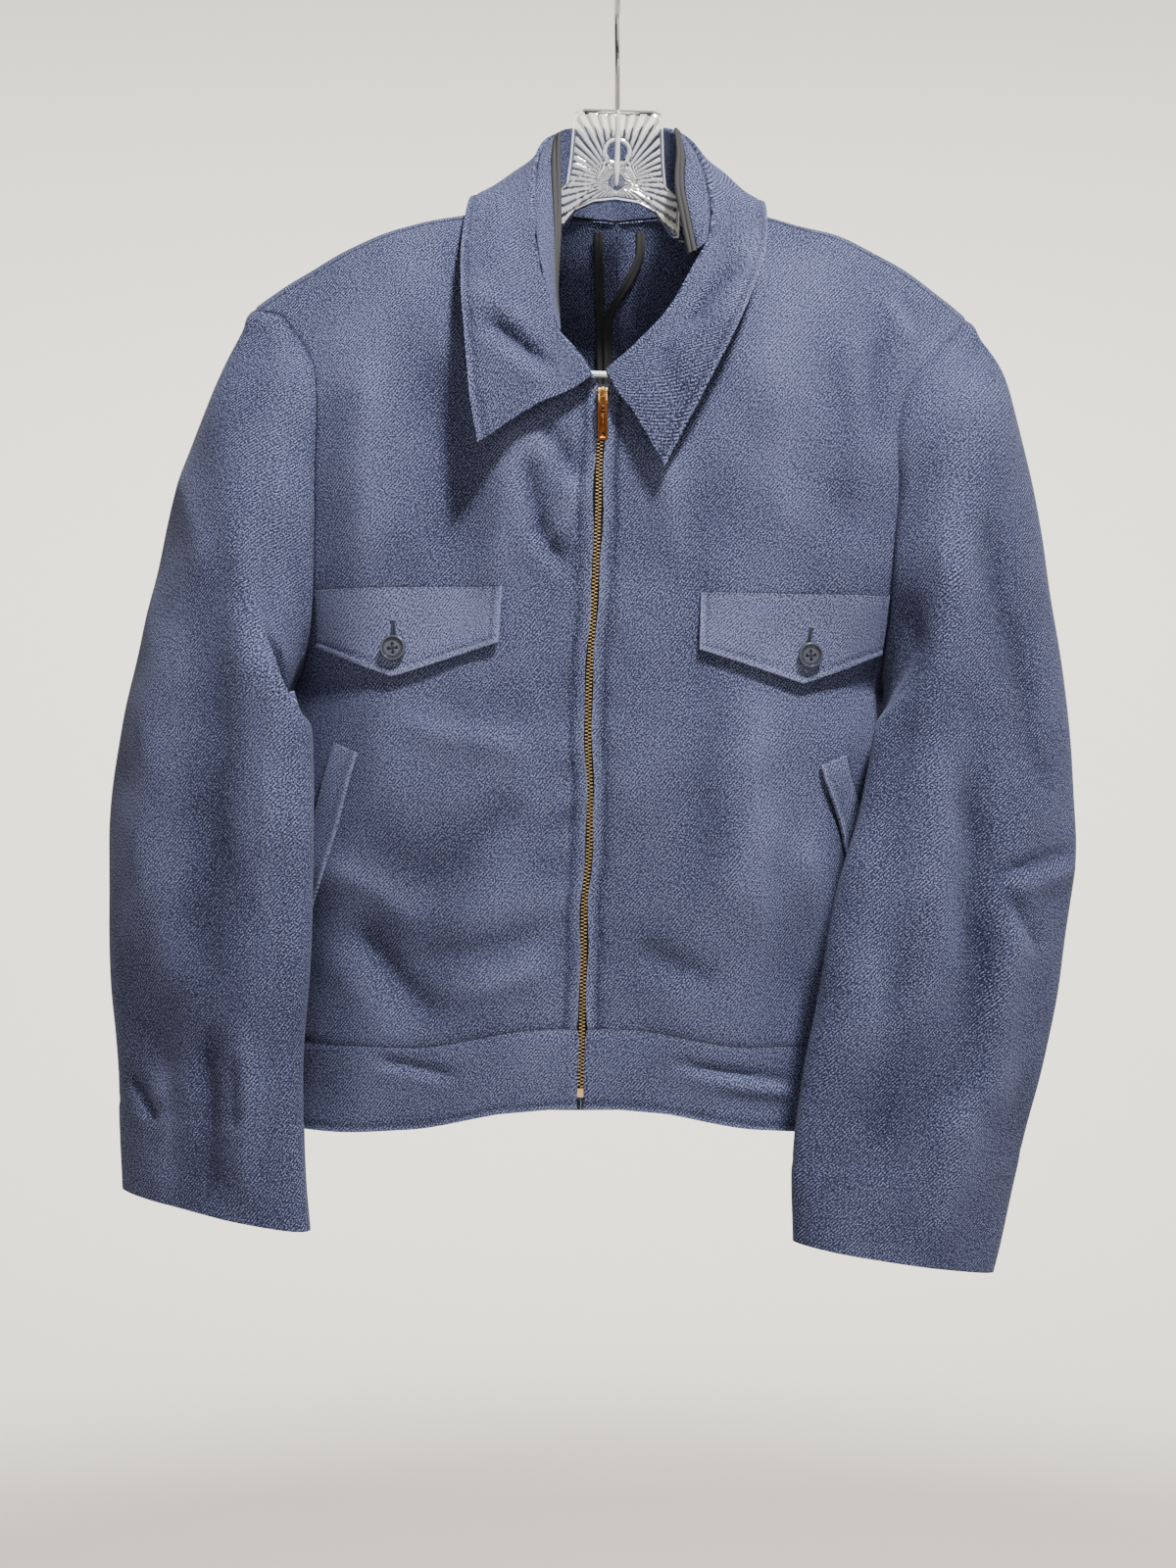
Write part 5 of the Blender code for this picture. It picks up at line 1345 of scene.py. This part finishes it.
def padded_strip(name, node, near, far, normals, half, finish, groove):
    """A strip with rounded edges between two lines, with a sewn line along its middle if grooved."""
    shares = np.linspace(0, 1, 9)
    profile = np.array([0.25, 0.8, 1.0, 1.0, 1.0, 1.0, 1.0, 0.8, 0.25])
    if groove:
        profile[4] = 0.45
    grid = near[:, None] + (far - near)[:, None] * shares[None, :, None]
    off = (half * profile)[None, :, None] * normals[:, None]
    across, down = lengths_over(grid)
    places = np.stack([across, down], axis=-1)
    raw = np.cross(grid[0, 1] - grid[0, 0], grid[1, 0] - grid[0, 0])
    sign = 1 if raw @ normals[0] > 0 else -1
    made = add_shell(name, grid + off, grid - off, sign, finish, places, 70)
    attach(made, "jacket")
    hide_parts(node)
    return made


def make_neck_inside():
    table = np.asarray(COLLAR, float)
    for side in ("right", "left"):
        t = np.linspace(0, 1, 49)
        free = along(FACING_EDGE[side], t)
        near = 0.13 if side == "right" else 0.75
        far = 0.395 if side == "right" else 0.605
        roll = smooth(table[:, 0], table[:, 1:4], near + (far - near) * t)
        inward = np.array([1.0, 0, 0]) if side == "right" else np.array([-1.0, 0, 0])
        attached = roll + inward * 1.5 - [0, 0, 1.0]
        normals, across = edge_frame(free, attached - free)
        bound = free + across * BINDING_WIDTH
        strip = padded_strip("bias_facing_" + side, "binding_facing_" + side, free, bound, normals, 1.3,
                             TRIM, True)
        strip = padded_strip("cloth_facing_" + side, "facing_" + side, bound + across * 0.4, attached,
                             normals, 0.8, TWILL, False)
        outward = -1 if side == "right" else 1
        z = np.linspace(-166, -700, 160)
        x, y = by_height(BACK_X, z), by_height(BACK_Y, z)
        facing = np.broadcast_to([0, -1.0, 0], (len(z), 3))
        heights, offsets = np.array(BINDING_RUN[side], float).T
        middle = smooth(heights, offsets, -z)[..., 0]
        fold = np.clip(middle / 3.5, -1, 1)
        over = np.where(side == "left", 1.6 * np.clip((-190 - z) / 20, 0, 1), 0)

        def line(off, forward):
            points = draped(np.stack([x + outward * off, y, z], axis=-1), "back")
            points[:, 1] -= CLOTH / 2 + 2.0 + forward + over
            return points

        half = BINDING_WIDTH / 2
        strip = padded_strip("cloth_allowance_" + side, "allowance_" + side, line(0.3 + 0 * middle, 0),
                             line(middle - half * fold, 0), facing, 0.6, TWILL, False)
        strip = padded_strip("bias_back_" + side, "binding_back_" + side, line(middle - half, 0.6),
                             line(middle + half, 0.6), facing, 1.0, TRIM, True)


# Hanger

HANGER_THICK = 6.0
HANGER_TILT = 1.75
PLATE_HOLE = np.array([0.0, -123.0])
PLATE_HOLE_RADIUS = 6.5
FAN = np.array([0.0, -143.0])
FLUTES = 44


def plate_edge(turns):
    """How far the plate's outline lies from its hole in each direction."""
    half = [(0, -95), (24, -95), (28.2, -96.8), (30, -101), (31.5, -128), (33.5, -146), (43, -154),
            (43, -180), (39.8, -180), (28, -163.3), (15, -157), (0, -155)]
    outline = np.array(half + [(-x, z) for x, z in half[-2:0:-1]]) - PLATE_HOLE
    ends = np.roll(outline, -1, axis=0)
    reach = np.zeros(len(turns))
    for i, turn in enumerate(turns):
        ray = np.array([math.cos(turn), math.sin(turn)])
        run = ends - outline
        cross = ray[0] * run[:, 1] - ray[1] * run[:, 0]
        cross = np.where(np.abs(cross) < 1e-9, 1e-9, cross)
        far = (outline[:, 0] * run[:, 1] - outline[:, 1] * run[:, 0]) / cross
        share = (outline[:, 0] * ray[1] - outline[:, 1] * ray[0]) / cross
        reach[i] = far[(far > 0) & (share >= -1e-6) & (share <= 1 + 1e-6)].min()
    return reach


def make_plate(lean):
    """The clear plate: a hole with a ring, flutes that spread from below it, and a raised rim, with painted
    highlight on the crests, ring and rim and painted shade in the valleys.
    """
    turns = np.linspace(0, 2 * math.pi, 360, endpoint=False)
    reach = plate_edge(turns)[:, None]
    share = np.linspace(0, 1, 41)[None, :]
    radius = PLATE_HOLE_RADIUS + (reach - PLATE_HOLE_RADIUS) * share
    x = radius * np.cos(turns)[:, None]
    z = PLATE_HOLE[1] + radius * np.sin(turns)[:, None]
    off_x, off_z = x, z - FAN[1]
    far = np.hypot(off_x, off_z)
    bearing = np.arctan2(off_z, off_x)
    inside = np.clip((radius - 9.5) / 2, 0, 1) * np.clip((reach - radius - 2.5) / 1.5, 0, 1)
    fan = np.clip((far - 4) / 5, 0, 1)
    height = 0.8 * np.abs(np.sin(bearing * FLUTES / 2)) * inside * fan
    height += 0.9 * np.exp(-(((radius - 8) / 1.2) ** 2))
    height += 0.9 * np.clip(1 - (reach - radius) / 2.2, 0, 1)
    front = np.stack([x, -HANGER_THICK / 2 + 0.4 - height, z], axis=-1)
    back = np.stack([x, np.full(x.shape, HANGER_THICK / 2), z], axis=-1)
    rows, columns = x.shape
    count = rows * columns
    index = np.arange(count).reshape(rows, columns)
    after = np.roll(index, -1, axis=0)
    quads = np.stack([index[:, :-1], after[:, :-1], after[:, 1:], index[:, 1:]], axis=-1).reshape(-1, 4)
    inner = np.stack([index[:, 0], index[:, 0] + count, after[:, 0] + count, after[:, 0]], axis=-1)
    outer = np.stack([index[:, -1], after[:, -1], after[:, -1] + count, index[:, -1] + count], axis=-1)
    faces = np.concatenate([quads, quads[:, ::-1] + count, inner, outer])
    points = np.concatenate([front.reshape(-1, 3), back.reshape(-1, 3)])
    # Painted highlight on the flute crests, the ring and the rim; painted shade in the valleys between crests
    highlight_faces = (np.abs(np.sin(bearing * FLUTES / 2)) > 0.62) & (inside * fan > 0.35)
    highlight_faces |= (np.abs(radius - 8) < 1.3) | (reach - radius < 1.8)
    dark = (inside * fan > 0.35) & ~highlight_faces
    kinds = np.where(highlight_faces, 1, np.where(dark, 2, 0))[:, :-1].ravel()
    plate = mesh_object("hanger_plate", points, faces, CLEAR, angle=40)
    plate.data.materials.append(PLASTIC_HIGHLIGHT)
    plate.data.materials.append(PLASTIC_SHADE)
    plate.data.polygons.foreach_set("material_index", np.resize(np.append(kinds, np.zeros(len(faces))),
                                                                len(faces)).astype(np.int32))
    bake(plate, lean)
    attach(plate, "jacket")
    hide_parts("hanger_body")
    stem = Matrix.Translation(Vector((0, -HANGER_THICK / 2 - 0.3, -121)) * MM)
    stem = lean @ stem @ Matrix.Rotation(math.pi / 2, 4, "Y")
    # The socket takes the whitish painted highlight plastic
    rib = capsules("hanger_socket", [(50, 4.6, 3.6, stem)], PLASTIC_HIGHLIGHT)


def make_arms(lean):
    """The arms that carry the shoulders: flat bars with a raised edge, cut from one outline."""
    slope, top, span = 0.365, -174.2, 194
    for side in (-1, 1):
        upper = [(43.2, -154.2), (101, top), (span - 14, top - slope * (span - 115))]
        end = (span - 9, top - slope * (span - 110) - 11)
        turns = np.radians(np.linspace(60, -100, 9))
        round_end = [(end[0] + 9 * math.cos(a), end[1] + 9 * math.sin(a)) for a in turns]
        outline = upper + round_end + [(101, top - 20), (58, top - 7.6), (43.2, -180)]
        middle = np.mean(outline, axis=0)
        rings = []
        for depth, inset in ((-HANGER_THICK / 2 + 0.5, 0.0), (-HANGER_THICK / 2 - 0.1, 0.6),
                             (HANGER_THICK / 2 - 0.4, 0.6), (HANGER_THICK / 2 - 0.9, 0.0)):
            ring = []
            for x, z in outline:
                pull = (1 - inset / 12)
                ring.append((side * x, depth, middle[1] + (z - middle[1]) * pull if inset else z))
            rings.append(ring)
        order = (rings[1], rings[0], rings[3], rings[2])
        count = len(outline)
        points = [p for ring in order for p in ring]
        faces = [tuple(range(count)), tuple(range(3 * count, 4 * count))]
        for k in range(3):
            for i in range(count):
                j = (i + 1) % count
                faces.append((k * count + i, k * count + j, (k + 1) * count + j, (k + 1) * count + i))
        arm = solid_object(f"hanger_arm_{'left' if side > 0 else 'right'}", points, faces, CLEAR, 30)
        bake(arm, lean)
        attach(arm, "jacket")
        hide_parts("hanger_body")


def make_hanger():
    lean = Matrix.Rotation(math.radians(HANGER_TILT), 4, "Y")
    pivot = Matrix.Translation(Vector((0, 0, -120)) * MM)
    lean = pivot @ lean @ pivot.inverted()
    make_plate(lean)
    make_arms(lean)
    # The clear bar is painted opaque white as a highlight
    for node, finish in (("hanger_bar", BAR_HIGHLIGHT), ("hanger_hook", STEEL)):
        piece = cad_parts[node]
        piece.data.materials.clear()
        piece.data.materials.append(finish)


# Studio

FLOOR = -1.6


def area_light(name, place, aim, size, power, colour):
    light = bpy.data.lights.new(name, "AREA")
    light.shape = "DISK"
    light.size = size
    light.energy = power
    light.color = colour
    made = bpy.data.objects.new(name, light)
    made.location = place
    made.rotation_euler = (Vector(aim) - Vector(place)).to_track_quat("-Z", "Y").to_euler()
    made.visible_camera = False
    bpy.context.scene.collection.objects.link(made)


def make_backdrop():
    """A pale floor that rises into a round wall, far behind and around the jacket."""
    profile = [(0.0, 0.0), (3.0, 0.0)]
    profile += [(3.0 + 1.5 * math.sin(a), 1.5 - 1.5 * math.cos(a)) for a in np.linspace(0.1, math.pi / 2, 12)]
    profile += [(4.5, 6.0)]
    count = 64
    points, faces = [], []
    for k in range(count):
        turn = 2 * math.pi * k / count
        points += [(r * math.cos(turn), r * math.sin(turn), FLOOR + h) for r, h in profile]
        for i in range(len(profile) - 1):
            a, b = k * len(profile) + i, (k + 1) % count * len(profile) + i
            faces.append((a, b, b + 1, a + 1))
    mesh = bpy.data.meshes.new("backdrop")
    mesh.from_pydata(points, [], faces)
    mesh.shade_smooth()
    mesh.materials.append(plain_material("pale_floor", (0.62, 0.60, 0.55), 0.95))
    made = bpy.data.objects.new("backdrop", mesh)
    bpy.context.scene.collection.objects.link(made)


def make_studio():
    world = bpy.data.worlds.new("studio")
    world.use_nodes = True
    world.node_tree.nodes["Background"].inputs["Color"].default_value = (0.93, 0.96, 1.0, 1)
    world.node_tree.nodes["Background"].inputs["Strength"].default_value = 0.03
    bpy.context.scene.world = world
    make_backdrop()
    aim = (0, 0, -0.5)
    area_light("key", (0.85, -1.35, 2.3), aim, 0.45, 350, (1.0, 0.975, 0.94))
    area_light("fill", (-0.3, -2.6, 0.2), aim, 1.2, 6, (0.93, 0.96, 1.0))
    area_light("rear", (-0.3, 1.9, 1.4), aim, 1.0, 5, (1.0, 1.0, 1.0))
    lamps = ((60, 80), (90, 78), (120, 80), (210, 1), (330, 1))
    for turn, power in lamps:
        x, y = 2.2 * math.cos(math.radians(turn)), 2.2 * math.sin(math.radians(turn))
        area_light("backdrop_lamp", (x, y, 0.2), (2 * x, 2 * y, -0.3), 1.6, power, (1.0, 0.985, 0.95))
    camera = bpy.data.cameras.new("camera")
    camera.sensor_width = 36
    camera.lens = 51.14
    camera.clip_end = 50
    holder = bpy.data.objects.new("camera", camera)
    holder.location = (-0.0198, -1.5, -0.548)
    holder.rotation_euler = (math.pi / 2, 0, 0)
    bpy.context.scene.collection.objects.link(holder)
    bpy.context.scene.camera = holder


shell = make_cloth(build_shell())
make_pockets(shell)
make_topstitching(shell)
make_zip()
make_neck_inside()
make_hanger()
make_studio()
